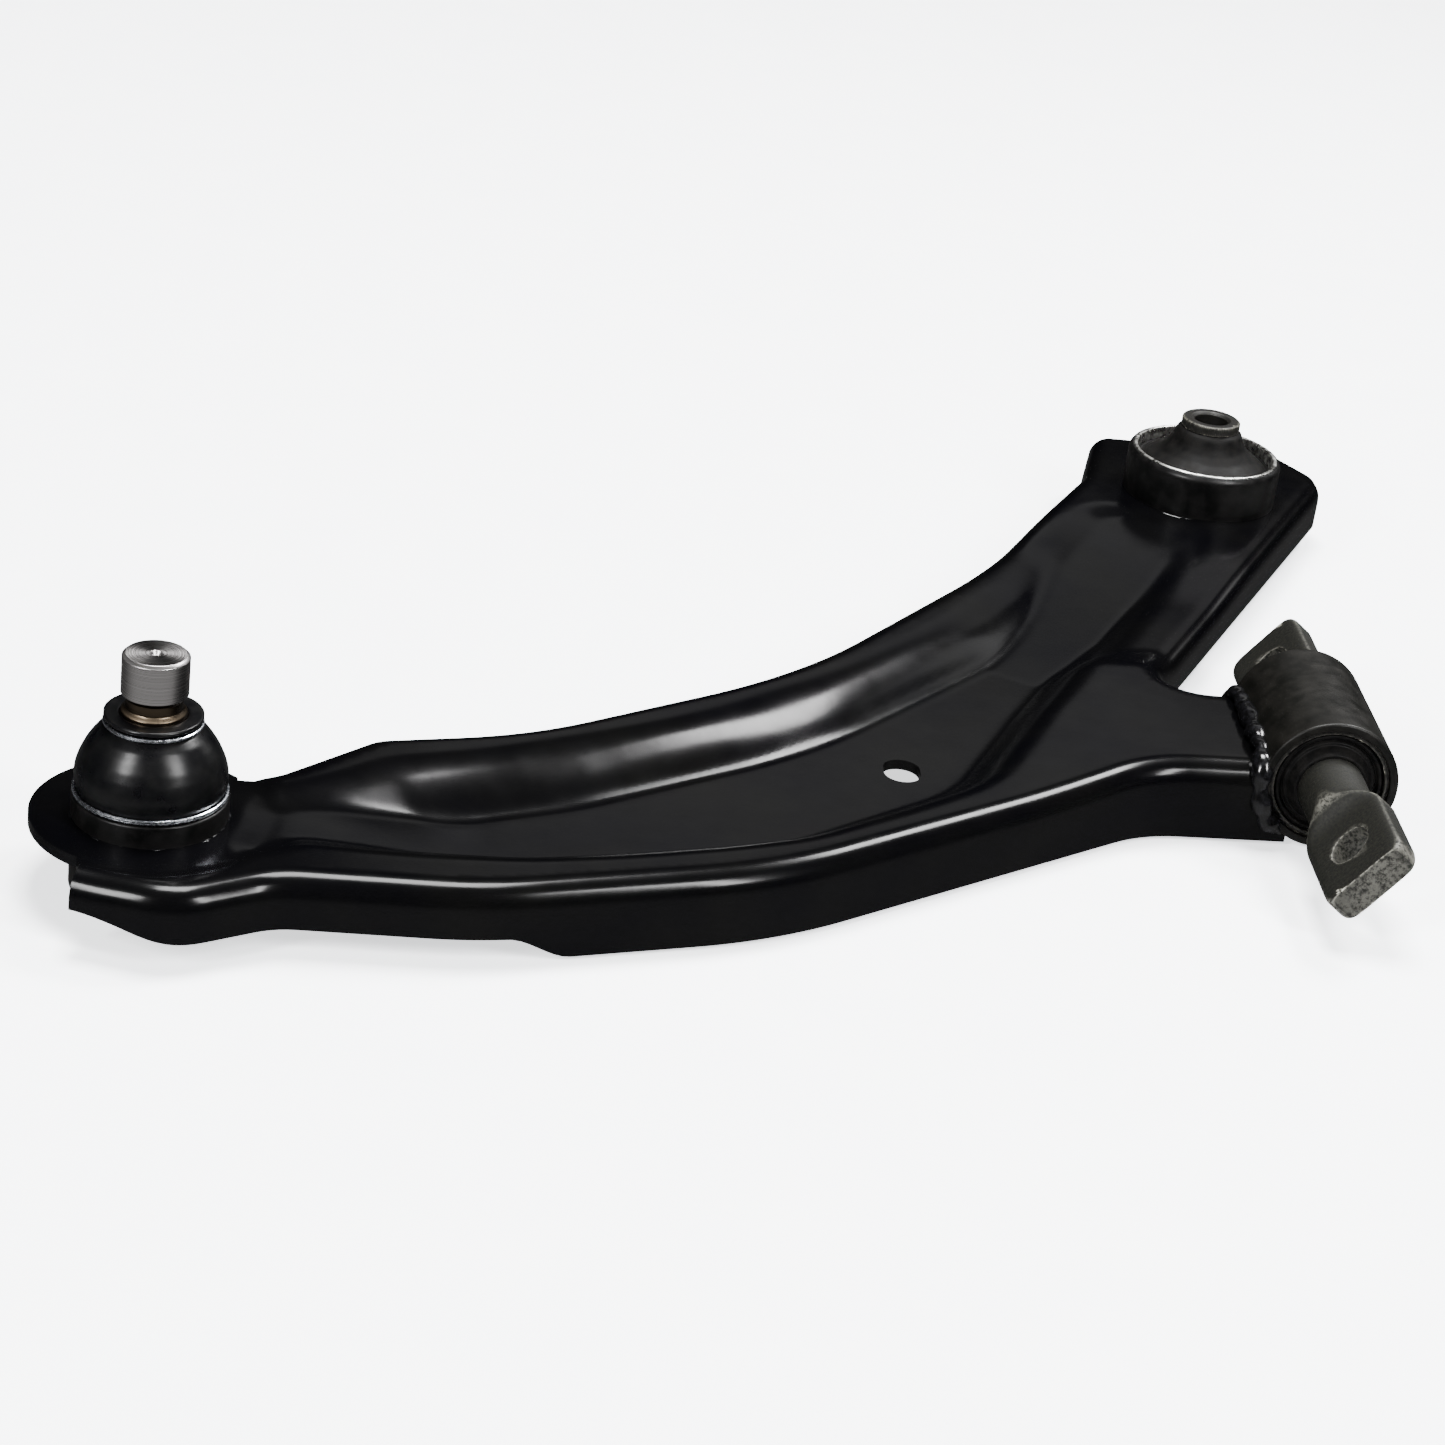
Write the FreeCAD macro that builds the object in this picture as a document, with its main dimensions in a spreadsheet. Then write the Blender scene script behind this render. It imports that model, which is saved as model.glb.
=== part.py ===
"""Front lower control arm: pressed arm, ball joint, vertical rear bush and horizontal front bush.

The origin is on the rear bush bore, +Z along that bore. The front bush axis runs along Y, so the
arm swings about a line parallel to Y. +X points to the vehicle's centre and the ball joint is at -X, -Y.
"""
import FreeCAD, Part
import math
import os
import re
import Sketcher

Vector = FreeCAD.Vector

# name: (value in mm or degrees, what it is)
SIZES = {
    "ball_offset_x": (337.2, "ball joint axis to pivot line"),
    "ball_offset_y": (305.7, "ball joint axis forward of rear bush"),
    "front_axis_x": (2.6, "front bush axis beside the rear bush bore"),
    "front_axis_z": (-3.2, "front bush axis height"),
    "front_tube_y": (-199.5, "middle of the front tube"),
    "crest_z": (-2.0, "top of the raised ribs and rear pad"),
    "land_z": (-3.7, "top of the flat land round the ball joint"),
    "web_depth": (11.0, "channel floor below the ribs"),
    "skirt_depth": (15.0, "wall height below the ribs"),
    "front_skirt_depth": (21.5, "wall height along the front edge"),
    "sheet": (3.2, "pressing thickness"),
    "crest_round": (7.0, "outer radius of the rib's outside edge"),
    "lobe_radius": (32.0, "outer end round the ball joint"),
    "web_hole_width": (11.2, "drain hole, short way"),
    "web_hole_length": (14.6, "drain hole, long way"),
    "ball_z": (-9.0, "ball centre height"),
    "ball_radius": (12.5, "ball of the stud"),
    "running_gap": (0.05, "radial clearance of what turns"),
    "seat_wall": (3.0, "bearing shell outside the ball"),
    "housing_radius": (21.0, "ball joint housing"),
    "housing_shoulder_z": (3.0, "seat for the boot"),
    "housing_neck_radius": (17.3, "neck inside the boot"),
    "housing_neck_height": (4.0, "neck above the shoulder"),
    "housing_mouth_radius": (15.3, "opening round the stud"),
    "housing_depth": (16.0, "housing below the ball centre"),
    "housing_throat_radius": (11.5, "opening above the bearing shell"),
    "seat_top_height": (6.5, "bearing shell above the ball centre"),
    "lip_height": (1.0, "rolled lip under the cap"),
    "lip_radius": (14.5, "hole in the rolled lip"),
    "cap_rim": (2.0, "cap beyond the bearing shell"),
    "cap_thickness": (2.0, "bottom cap"),
    "preload_height": (1.5, "preload ring"),
    "preload_radius": (8.0, "hole in the preload ring"),
    "stud_radius": (9.0, "stud shank"),
    "stud_top_z": (43.8, "top of the stud"),
    "stud_chamfer": (1.5, "stud end chamfer"),
    "stud_neck_radius": (7.3, "stud above the ball"),
    "stud_cone_height": (22.0, "shank begins, above the ball centre"),
    "groove_z": (30.0, "middle of the pinch bolt groove"),
    "groove_depth": (1.4, "pinch bolt groove"),
    "groove_round": (4.6, "section radius of the groove"),
    "boot_wall": (1.6, "dust boot"),
    "boot_radius": (20.4, "widest part of the boot"),
    "boot_top_z": (26.6, "top of the boot lip"),
    "boot_lip_radius": (13.3, "boot lip"),
    "boot_neck_radius": (12.2, "boot under its lip"),
    "boot_lip_thickness": (1.3, "boot lip"),
    "ring_wire": (0.65, "radius of the boot ring wire"),
    "weld_leg": (3.0, "weld fillet leg"),
    "rear_housing_radius": (27.4, "rear collar"),
    "rear_rim_z": (16.0, "rear collar rim"),
    "rear_housing_bottom": (-20.0, "underside of the rear collar"),
    "rear_housing_wall": (1.6, "rear collar"),
    "outer_sleeve_wall": (1.5, "outer sleeve of either bush"),
    "rear_sleeve_top": (28.5, "top of the inner sleeve"),
    "rear_sleeve_bottom": (-23.0, "bottom of the inner sleeve"),
    "rear_sleeve_radius": (10.4, "inner sleeve disc"),
    "rear_sleeve_neck": (9.4, "inner sleeve in the rubber"),
    "rear_disc_height": (3.2, "inner sleeve disc"),
    "rear_bore_radius": (6.1, "bolt hole of the inner sleeve"),
    "rubber_gap": (0.3, "soft rubber to a part that moves"),
    "tube_radius": (20.7, "front tube"),
    "tube_wall": (2.6, "front tube"),
    "tube_length": (54.0, "front tube"),
    "bar_radius": (10.0, "round middle of the bar"),
    "bar_front": (87.0, "bar end forward of the tube middle"),
    "bar_back": (70.5, "bar end behind the tube middle"),
    "bar_width": (27.6, "bar flats"),
    "bar_thickness": (9.6, "bar flats"),
    "flat_length": (32.0, "bar flats"),
    "bar_hole_radius": (6.5, "holes in the flats"),
    "bar_hole_inset": (17.3, "hole centre from the bar end"),
    "bar_roll": (52.0, "how far the flats are rolled"),
    "bar_chamfer": (1.5, "rim of the bar ends"),
    "bead_swell": (0.6, "bead centre outside the tube"),
    "bead_start": (120.0, "where a bead round the tube starts"),
    "bead_sweep": (58.0, "how far it goes round"),
    "end_rise": (5.0, "front wall is this much shallower at its outer end"),
    "boot_foot": (0.7, "boot foot inside its widest part"),
    "boot_foot_height": (2.4, "straight foot of the boot"),
    "boot_belly_height": (6.0, "widest part above the boot seat"),
    "boot_shoulder": (2.2, "boot shoulder inside its widest part"),
    "boot_shoulder_height": (13.6, "shoulder above the boot seat"),
    "boot_neck_height": (4.4, "neck below the boot top"),
}

doc = FreeCAD.newDocument("control_arm")
dims = doc.addObject("Spreadsheet::Sheet", "dims")
for row, (name, (number, meaning)) in enumerate(SIZES.items(), start=1):
    dims.set(f"A{row}", name)
    dims.set(f"B{row}", str(number))
    dims.set(f"C{row}", meaning)
    dims.setAlias(f"B{row}", name)
doc.recompute()


def bound(text):
    """An expression in sheet names, written for setExpression."""
    return re.sub(r"\b(?!sqrt\b)[a-z][a-z_]+", r"dims.\g<0>", text)


def size(text):
    """The number that such an expression stands for now."""
    result = dims.evalExpression(bound(text))
    return float(getattr(result, "Value", result))


def plane(body, role):
    return next(feature for feature in body.Origin.OriginFeatures if feature.Role == role)


def place(thing, x="0", y="0", z="0"):
    for axis, text in (("x", x), ("y", y), ("z", z)):
        thing.setExpression(f"Placement.Base.{axis}", bound(text))


def new_body(label, x="0", y="0", z="0"):
    body = doc.addObject("PartDesign::Body", label)
    place(body, x, y, z)
    return body


def new_sketch(body, name, role="XZ_Plane", height="0"):
    sketch = body.newObject("Sketcher::SketchObject", name)
    sketch.AttachmentSupport = [(plane(body, role), "")]
    sketch.MapMode = "FlatFace"
    sketch.setExpression("AttachmentOffset.Base.z", bound(height))
    return sketch


def arc_through(start, middle, end):
    """An arc as a sketch keeps it, anticlockwise, and whether its ends are swapped for that."""
    circle = Part.Arc(start, middle, end).toShape().Curve
    centre = circle.Center
    swapped = (middle - start).cross(end - middle).z < 0
    first, last = (end, start) if swapped else (start, end)
    angles = [math.atan2(spot.y - centre.y, spot.x - centre.x) for spot in (first, last)]
    if angles[1] < angles[0]:
        angles[1] += 2 * math.pi
    round_part = Part.Circle(centre, Vector(0, 0, 1), circle.Radius)
    return Part.ArcOfCircle(round_part, *angles), swapped


def outline(sketch, corners):
    """Closed outline of straight lines whose corners are bound to the sheet.

    A corner with a third entry is reached by an arc through the point that the entry names."""
    points = [Vector(size(corner[0]), size(corner[1]), 0) for corner in corners]
    count = len(points)
    heads = []
    tails = []
    for index, start in enumerate(points):
        following = (index + 1) % count
        middle = corners[following][2:]
        swapped = False
        if middle:
            through = Vector(size(middle[0][0]), size(middle[0][1]), 0)
            piece, swapped = arc_through(start, through, points[following])
        else:
            piece = Part.LineSegment(start, points[following])
        sketch.addGeometry(piece)
        heads.append(2 if swapped else 1)
        tails.append(1 if swapped else 2)
    for index, corner in enumerate(corners):
        following = (index + 1) % count
        sketch.addConstraint(Sketcher.Constraint("Coincident", index, tails[index], following, heads[following]))
        for kind, text in (("DistanceX", corner[0]), ("DistanceY", corner[1])):
            number = sketch.addConstraint(Sketcher.Constraint(kind, -1, 1, index, heads[index], size(text)))
            sketch.setExpression(f"Constraints[{number}]", bound(text))


def revolve(label, corners, x="0", y="0", z="0"):
    """A body turned about its own Z from half its section."""
    body = new_body(label, x, y, z)
    sketch = new_sketch(body, label + "_section")
    outline(sketch, corners)
    turned = body.newObject("PartDesign::Revolution", label + "_turned")
    turned.Profile = sketch
    turned.ReferenceAxis = (sketch, ["V_Axis"])
    turned.Angle = 360
    return body


# ---- pressed arm -----------------------------------------------------------------------------

BALL = Vector(-size("ball_offset_x"), -size("ball_offset_y"), 0)
REAR = Vector(0, 0, 0)
FRONT = Vector(size("front_axis_x"), size("front_tube_y"), 0)
MIDDLE = (BALL + REAR) / 2


def near(anchor, dx, dy, radius=0.0):
    """A corner of an outline, placed from the joint it belongs to, and its radius."""
    return (anchor.x + dx, anchor.y + dy, radius)


def rounded_wire(corners):
    """Straight runs joined by tangent arcs, none longer than half the shorter run beside it."""
    edges = []
    count = len(corners)
    arcs = []
    for index, (x, y, radius) in enumerate(corners):
        here = Vector(x, y, 0)
        before = Vector(*corners[index - 1][:2], 0) - here
        after = Vector(*corners[(index + 1) % count][:2], 0) - here
        room = min(before.Length, after.Length)
        before.normalize()
        after.normalize()
        half = before.getAngle(after) / 2
        reach = min(radius / math.tan(half), 0.48 * room)
        radius = reach * math.tan(half)
        bisector = before + after
        bisector.normalize()
        depth = radius / math.sin(half) - radius
        arcs.append((here + before * reach, here + bisector * depth, here + after * reach, radius))
    for index, (start, middle, end, radius) in enumerate(arcs):
        if radius > 0:
            edges.append(Part.Arc(start, middle, end).toShape())
        following = arcs[(index + 1) % count][0]
        edges.append(Part.LineSegment(end, following).toShape())
    return Part.Wire(edges)


def draw_wire(sketch, wire):
    """Copy a flat wire of lines and arcs into a sketch."""
    for edge in wire.OrderedEdges:
        first, last = edge.ParameterRange
        if isinstance(edge.Curve, Part.Circle):
            sketch.addGeometry(Part.ArcOfCircle(edge.Curve, first, last))
        else:
            sketch.addGeometry(Part.LineSegment(edge.valueAt(first), edge.valueAt(last)))


def arm_edge():
    """Outer face of the walls, from the outer end along the front, up the rear leg and back."""
    return [
        near(BALL, -46, -40),
        near(BALL, 12, -48, 22),
        near(BALL, 37, -33, 22),
        near(BALL, 92, -31, 110),
        near(MIDDLE, 3, -158.5, 150),
        near(FRONT, -54, -29.5, 40),
        near(FRONT, -10, -26),
        near(FRONT, -10, 26.3),
        near(FRONT, -47, 26.3, 14),
        near(REAR, 51, 22, 15),
        near(REAR, 51, 31, 9),
        near(REAR, 38, 53.5, 14),
        near(REAR, -31, 53.5, 8),
        near(REAR, -41, 10, 30),
        near(REAR, -88, -83, 300),
        near(MIDDLE, 12, -26, 220),
        near(BALL, 99, 69, 120),
        near(BALL, 56, 56.5, 14),
        near(BALL, 29, 28, 14),
        near(BALL, -46, 28),
    ]


def channel_edge():
    """Top edge of the sunk web between the ribs."""
    return [
        near(BALL, 46, -10, 13),
        near(BALL, 108, -5.5, 90),
        near(MIDDLE, 5, -132, 50),
        near(FRONT, -99, -29.5, 30),
        near(REAR, -14, -46, 13),
        near(REAR, -47, -38, 13),
        near(MIDDLE, 80, 32, 200),
        near(MIDDLE, 5, -57, 200),
        near(BALL, 112, 54, 120),
        near(BALL, 52, 28, 14),
    ]


def top_edges(feature, height, smallest):
    """Names of the level edges at a height that are longer than a given length."""
    names = []
    for number, edge in enumerate(feature.Shape.Edges, start=1):
        box = edge.BoundBox
        if abs(box.ZMin - height) < 0.01 and abs(box.ZMax - height) < 0.01 and edge.Length > smallest:
            names.append(f"Edge{number}")
    return names


MITRE = math.tan(math.radians(22.5))  # sideways growth of a 45 degree slope that is moved inwards


def pressing(label, layers):
    """The solid under the top surface of the arm, or under its inside one layer of sheet below."""
    inset = f"{layers}*sheet"
    shift = size(inset)
    crest = size(f"crest_z - ({inset})")
    body = new_body(label)

    plan = new_sketch(body, label + "_plan", "XY_Plane", f"crest_z - ({inset})")
    edge = rounded_wire(arm_edge())
    if shift:
        edge = edge.makeOffset2D(-shift)
    draw_wire(plan, edge)
    block = body.newObject("PartDesign::Pad", label + "_block")
    block.Profile = plan
    block.Reversed = True
    block.setExpression("Length", bound("front_skirt_depth"))
    doc.recompute()

    soft = body.newObject("PartDesign::Fillet", label + "_crest")
    soft.Base = (block, top_edges(block, crest, 0.5))
    soft.setExpression("Radius", bound(f"crest_round - ({inset})"))
    doc.recompute()

    land = new_sketch(body, label + "_land_plan", "XY_Plane", f"crest_z - ({inset})")
    widen = size("crest_z - land_z")
    land.addGeometry(Part.Circle(BALL, Vector(0, 0, 1), size("lobe_radius") + widen + MITRE * shift))
    flat = body.newObject("PartDesign::Pocket", label + "_land")
    flat.Profile = land
    flat.setExpression("Length", bound("crest_z - land_z"))
    flat.TaperAngle = -45

    web = new_sketch(body, label + "_channel_plan", "XY_Plane", f"crest_z - ({inset})")
    channel = rounded_wire(channel_edge())
    if shift:
        channel = channel.makeOffset2D(MITRE * shift)
    draw_wire(web, channel)
    sunk = body.newObject("PartDesign::Pocket", label + "_channel")
    sunk.Profile = web
    sunk.setExpression("Length", bound("web_depth"))
    sunk.TaperAngle = -45
    doc.recompute()
    return body




def prism(label, wire, height, depth, role="XY_Plane"):
    """A block on the near side of a plane, behind a flat wire."""
    body = new_body(label)
    plan = new_sketch(body, label + "_plan", role, height)
    draw_wire(plan, wire)
    block = body.newObject("PartDesign::Pad", label + "_block")
    block.Profile = plan
    block.Reversed = True
    block.setExpression("Length", bound(depth))
    return body


def cylinder(label, radius, length, x="0", y="0", z="0", along_y=False):
    """A round tool that starts at the given place."""
    tool = doc.addObject("Part::Cylinder", label)
    tool.setExpression("Radius", bound(radius))
    tool.setExpression("Height", bound(length))
    if along_y:
        tool.Placement.Rotation = FreeCAD.Rotation(Vector(1, 0, 0), -90)
    place(tool, x, y, z)
    return tool


def cut(label, base, tool):
    result = doc.addObject("Part::Cut", label)
    result.Base = base
    result.Tool = tool
    doc.recompute()
    return result


def lobe_trim():
    """Everything outside the round outer end, up to where the two walls start."""
    radius = size("lobe_radius")
    flange_x = BALL.x - 15.4
    flange_y = BALL.y - math.sqrt(radius ** 2 - (flange_x - BALL.x) ** 2)
    neck_x = BALL.x + 21
    neck_y = BALL.y + math.sqrt(radius ** 2 - (neck_x - BALL.x) ** 2)
    far = 2 * radius
    corners = [
        Vector(flange_x, flange_y, 0),
        Vector(flange_x, BALL.y - far, 0),
        Vector(BALL.x - far, BALL.y - far, 0),
        Vector(BALL.x - far, BALL.y + far, 0),
        Vector(neck_x, BALL.y + far, 0),
        Vector(neck_x, neck_y, 0),
    ]
    edges = [Part.LineSegment(a, b).toShape() for a, b in zip(corners, corners[1:])]
    edges.append(Part.Arc(corners[-1], BALL - Vector(radius, 0, 0), corners[0]).toShape())
    return Part.Wire(edges)


def skirt_trim():
    """Plan of the walls that are shallower than the front one."""
    return rounded_wire([
        near(BALL, -90, -90),
        near(BALL, 99, -90),
        near(BALL, 115, 0),
        near(MIDDLE, 18, -109),
        near(FRONT, -80, 51.5),
        near(FRONT, 70, 51.5),
        near(REAR, 72, 90),
        near(BALL, -90, 390),
    ])


def end_trim():
    """What is cut away under the front wall's outer end, seen from the front."""
    bottom = size("crest_z - skirt_depth")
    rise = size("end_rise")
    corners = [
        Vector(BALL.x + 14, bottom, 0),
        Vector(BALL.x + 14, bottom - rise, 0),
        Vector(BALL.x - 22, bottom - rise, 0),
        Vector(BALL.x - 22, bottom + rise + 1, 0),
    ]
    edges = [Part.LineSegment(a, b).toShape() for a, b in zip(corners, corners[1:])]
    middle = Vector(BALL.x - 3.5, bottom + 0.3 * rise, 0)
    edges.append(Part.Arc(corners[-1], middle, corners[0]).toShape())
    return Part.Wire(edges)


def web_hole():
    """Oval drain hole, long way across the arm."""
    radius = size("web_hole_width") / 2
    half = size("web_hole_length") / 2
    centre = MIDDLE + Vector(43.7, -68.6, 0)
    x, y = centre.x, centre.y
    return rounded_wire([
        (x - radius, y - half, radius * 0.98),
        (x + radius, y - half, radius * 0.98),
        (x + radius, y + half, radius * 0.98),
        (x - radius, y + half, radius * 0.98),
    ])


skin = pressing("skin", 0)
core = pressing("core", 1)
arm = cut("arm_hollow", skin, core)
arm = cut("arm_lobe", arm, prism("lobe_tool", lobe_trim(), "crest_z + sheet", "3*front_skirt_depth"))
arm = cut("arm_skirt", arm, prism("skirt_tool", skirt_trim(), "crest_z - skirt_depth", "front_skirt_depth"))
arm = cut("arm_end", arm, prism("end_tool", end_trim(), "ball_offset_y + 70", "40", "XZ_Plane"))
arm = cut("arm_drained", arm, prism("web_hole_tool", web_hole(), "crest_z", "front_skirt_depth"))
arm = cut("arm_ball_hole", arm, cylinder(
    "ball_hole_tool", "housing_radius", "3*front_skirt_depth",
    "-ball_offset_x", "-ball_offset_y", "-2*front_skirt_depth"))
arm = cut("arm_rear_hole", arm, cylinder(
    "rear_hole_tool", "rear_housing_radius", "3*front_skirt_depth", z="-2*front_skirt_depth"))
arm = cut("arm_shell", arm, cylinder(
    "tube_hole_tool", "tube_radius", "tube_length + 4*sheet",
    "front_axis_x", "front_tube_y - tube_length/2 - 2*sheet", "front_axis_z", along_y=True))

# ---- ball joint ------------------------------------------------------------------------------

AT_BALL = ("-ball_offset_x", "-ball_offset_y")
SEAT = "ball_radius + seat_wall"
SEAT_TOP = "ball_z + seat_top_height"
BOTTOM = "ball_z - housing_depth"
CAP_TOP = f"{BOTTOM} + lip_height + cap_thickness"
SEAT_BOTTOM = f"{CAP_TOP} + preload_height"
SOCKET = "(ball_radius + running_gap)"
NECK_TOP = "housing_shoulder_z + housing_neck_height"

housing = revolve("ball_joint_housing", [
    ("lip_radius", BOTTOM),
    ("housing_radius", BOTTOM),
    ("housing_radius", "housing_shoulder_z"),
    ("housing_neck_radius", "housing_shoulder_z"),
    ("housing_neck_radius", NECK_TOP),
    ("housing_mouth_radius", NECK_TOP),
    ("housing_throat_radius", SEAT_TOP),
    (SEAT, SEAT_TOP),
    (SEAT, CAP_TOP),
    (f"{SEAT} + cap_rim", CAP_TOP),
    (f"{SEAT} + cap_rim", f"{BOTTOM} + lip_height"),
    ("lip_radius", f"{BOTTOM} + lip_height"),
], *AT_BALL)

revolve("ball_housing_weld", [
    ("housing_radius", "land_z"),
    ("housing_radius + weld_leg", "land_z"),
    ("housing_radius", "land_z + weld_leg"),
], *AT_BALL)

revolve("ball_seat", [
    (f"sqrt({SOCKET}^2 - (ball_z - ({SEAT_BOTTOM}))^2)", SEAT_BOTTOM, (SOCKET, "ball_z")),
    (SEAT, SEAT_BOTTOM),
    (SEAT, SEAT_TOP),
    (f"sqrt({SOCKET}^2 - seat_top_height^2)", SEAT_TOP),
], *AT_BALL)

revolve("ball_preload_ring", [
    ("preload_radius", CAP_TOP),
    (SEAT, CAP_TOP),
    (SEAT, SEAT_BOTTOM),
    ("preload_radius", SEAT_BOTTOM),
], *AT_BALL)

revolve("ball_joint_cap", [
    ("0", f"{BOTTOM} + lip_height"),
    (f"{SEAT} + cap_rim", f"{BOTTOM} + lip_height"),
    (f"{SEAT} + cap_rim", CAP_TOP),
    ("0", CAP_TOP),
], *AT_BALL)

GROOVE_HALF = "sqrt(groove_round^2 - (groove_round - groove_depth)^2)"
revolve("ball_stud", [
    ("0", "ball_z - ball_radius"),
    ("stud_neck_radius", "ball_z + sqrt(ball_radius^2 - stud_neck_radius^2)", ("ball_radius", "ball_z")),
    ("stud_neck_radius", "ball_z + ball_radius + 1"),
    ("stud_radius", "ball_z + stud_cone_height"),
    ("stud_radius", f"groove_z - {GROOVE_HALF}"),
    ("stud_radius", f"groove_z + {GROOVE_HALF}", ("stud_radius - groove_depth", "groove_z")),
    ("stud_radius", "stud_top_z - stud_chamfer"),
    ("stud_radius - stud_chamfer", "stud_top_z"),
    ("0", "stud_top_z"),
], *AT_BALL)

# ---- dust boot and its rings -----------------------------------------------------------------

BOOT_FOOT = "(boot_radius - boot_foot)"
BOOT_SHOULDER = "(boot_radius - boot_shoulder)"
BELLY_Z = "housing_shoulder_z + boot_belly_height"
LIP_BOTTOM = "boot_top_z - boot_lip_thickness"
SEAL = "(stud_radius + running_gap)"
revolve("dust_boot", [
    ("housing_neck_radius", "housing_shoulder_z"),
    (BOOT_FOOT, "housing_shoulder_z"),
    (BOOT_FOOT, "housing_shoulder_z + boot_foot_height"),
    ("boot_radius", BELLY_Z),
    ("boot_lip_radius", "boot_top_z - boot_neck_height",
     (BOOT_SHOULDER, "housing_shoulder_z + boot_shoulder_height")),
    ("boot_neck_radius", "boot_top_z - boot_neck_height/1.2"),
    ("boot_neck_radius", LIP_BOTTOM),
    ("boot_lip_radius", LIP_BOTTOM),
    ("boot_lip_radius", "boot_top_z"),
    (SEAL, "boot_top_z"),
    (SEAL, "boot_top_z - boot_neck_height"),
    ("boot_lip_radius - boot_wall", "boot_top_z - boot_neck_height - boot_wall/1.5"),
    ("boot_radius - boot_wall", BELLY_Z,
     (f"{BOOT_SHOULDER} - boot_wall", "housing_shoulder_z + boot_shoulder_height - boot_wall/2")),
    ("housing_neck_radius", NECK_TOP),
], *AT_BALL)


def wire_ring(label, inner, height, turns):
    """A ring of one or more turns of round wire that lies against the boot."""
    body = new_body(label, *AT_BALL)
    for turn in range(turns):
        sketch = new_sketch(body, f"{label}_wire_{turn}")
        sketch.addGeometry(Part.Circle(Vector(20, 5 * turn, 0), Vector(0, 0, 1), 1))
        for kind, text in (
            ("DistanceX", f"{inner} + ring_wire"),
            ("DistanceY", f"{height} + {2 * turn + 1}*ring_wire - {turn}*running_gap"),
        ):
            number = sketch.addConstraint(Sketcher.Constraint(kind, -1, 1, 0, 3, size(text)))
            sketch.setExpression(f"Constraints[{number}]", bound(text))
        number = sketch.addConstraint(Sketcher.Constraint("Radius", 0, size("ring_wire")))
        sketch.setExpression(f"Constraints[{number}]", bound("ring_wire"))
        ring = body.newObject("PartDesign::Revolution", f"{label}_turn_{turn}")
        ring.Profile = sketch
        ring.ReferenceAxis = (sketch, ["V_Axis"])
        ring.Angle = 360
    return body


wire_ring("boot_ring_upper", "boot_neck_radius", f"{LIP_BOTTOM} - 2*ring_wire - 0.2", 1)
wire_ring("boot_ring_lower", BOOT_FOOT, "housing_shoulder_z", 2)

# ---- rear bush -------------------------------------------------------------------------------

COLLAR_BORE = "(rear_housing_radius - rear_housing_wall)"
SLEEVE_BORE = f"({COLLAR_BORE} - outer_sleeve_wall)"
REAR_RUBBER = f"({SLEEVE_BORE} - rubber_gap)"
REAR_CORE = "(rear_sleeve_neck + running_gap)"

revolve("rear_bush_housing", [
    (COLLAR_BORE, "rear_housing_bottom"),
    ("rear_housing_radius", "rear_housing_bottom"),
    ("rear_housing_radius", "rear_rim_z - 2.2"),
    ("rear_housing_radius - 0.8", "rear_rim_z - 0.6", ("rear_housing_radius - 0.2", "rear_rim_z - 1.2")),
    (COLLAR_BORE, "rear_rim_z - 0.6"),
])
revolve("rear_bush_weld", [
    ("rear_housing_radius", "crest_z"),
    ("rear_housing_radius + weld_leg", "crest_z"),
    ("rear_housing_radius", "crest_z + weld_leg"),
])
revolve("rear_bush_outer_sleeve", [
    (SLEEVE_BORE, "rear_housing_bottom"),
    (COLLAR_BORE, "rear_housing_bottom"),
    (COLLAR_BORE, "rear_rim_z"),
    (SLEEVE_BORE, "rear_rim_z"),
])
revolve("rear_bush_rubber", [
    (REAR_CORE, "rear_sleeve_bottom + 4"),
    ("rear_sleeve_neck + 5", "rear_sleeve_bottom + 4"),
    (REAR_RUBBER, "rear_housing_bottom + 4"),
    (REAR_RUBBER, "rear_rim_z - 3"),
    ("rear_sleeve_neck + 9", "rear_rim_z"),
    ("rear_sleeve_neck + 2.2", "rear_rim_z + 7.5", ("rear_sleeve_neck + 4.5", "rear_rim_z + 3")),
    (REAR_CORE, "rear_rim_z + 7.5"),
])
revolve("rear_bush_inner_sleeve", [
    ("rear_bore_radius", "rear_sleeve_bottom"),
    ("rear_sleeve_neck", "rear_sleeve_bottom"),
    ("rear_sleeve_neck", "rear_sleeve_top - rear_disc_height"),
    ("rear_sleeve_radius", "rear_sleeve_top - rear_disc_height"),
    ("rear_sleeve_radius", "rear_sleeve_top - 0.6"),
    ("rear_sleeve_radius - 0.6", "rear_sleeve_top"),
    ("rear_bore_radius", "rear_sleeve_top"),
])

# ---- front bush ------------------------------------------------------------------------------

TUBE_BORE = "(tube_radius - tube_wall)"
FRONT_BORE = f"({TUBE_BORE} - outer_sleeve_wall)"
LIE_ALONG_Y = FreeCAD.Rotation(Vector(1, 0, 0), -90)


def front_ring(label, inner, outer, length):
    """A ring on the front bush axis, centred on the tube."""
    body = revolve(label, [
        (inner, f"-({length})/2"),
        (outer, f"-({length})/2"),
        (outer, f"({length})/2"),
        (inner, f"({length})/2"),
    ])
    body.Placement.Rotation = LIE_ALONG_Y
    place(body, "front_axis_x", "front_tube_y", "front_axis_z")
    return body


front_ring("front_bush_tube", TUBE_BORE, "tube_radius", "tube_length")
front_ring("front_bush_outer_sleeve", FRONT_BORE, TUBE_BORE, "tube_length - 1")
front_ring("front_bush_rubber", "bar_radius + running_gap", FRONT_BORE, "tube_length - 4")


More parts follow.
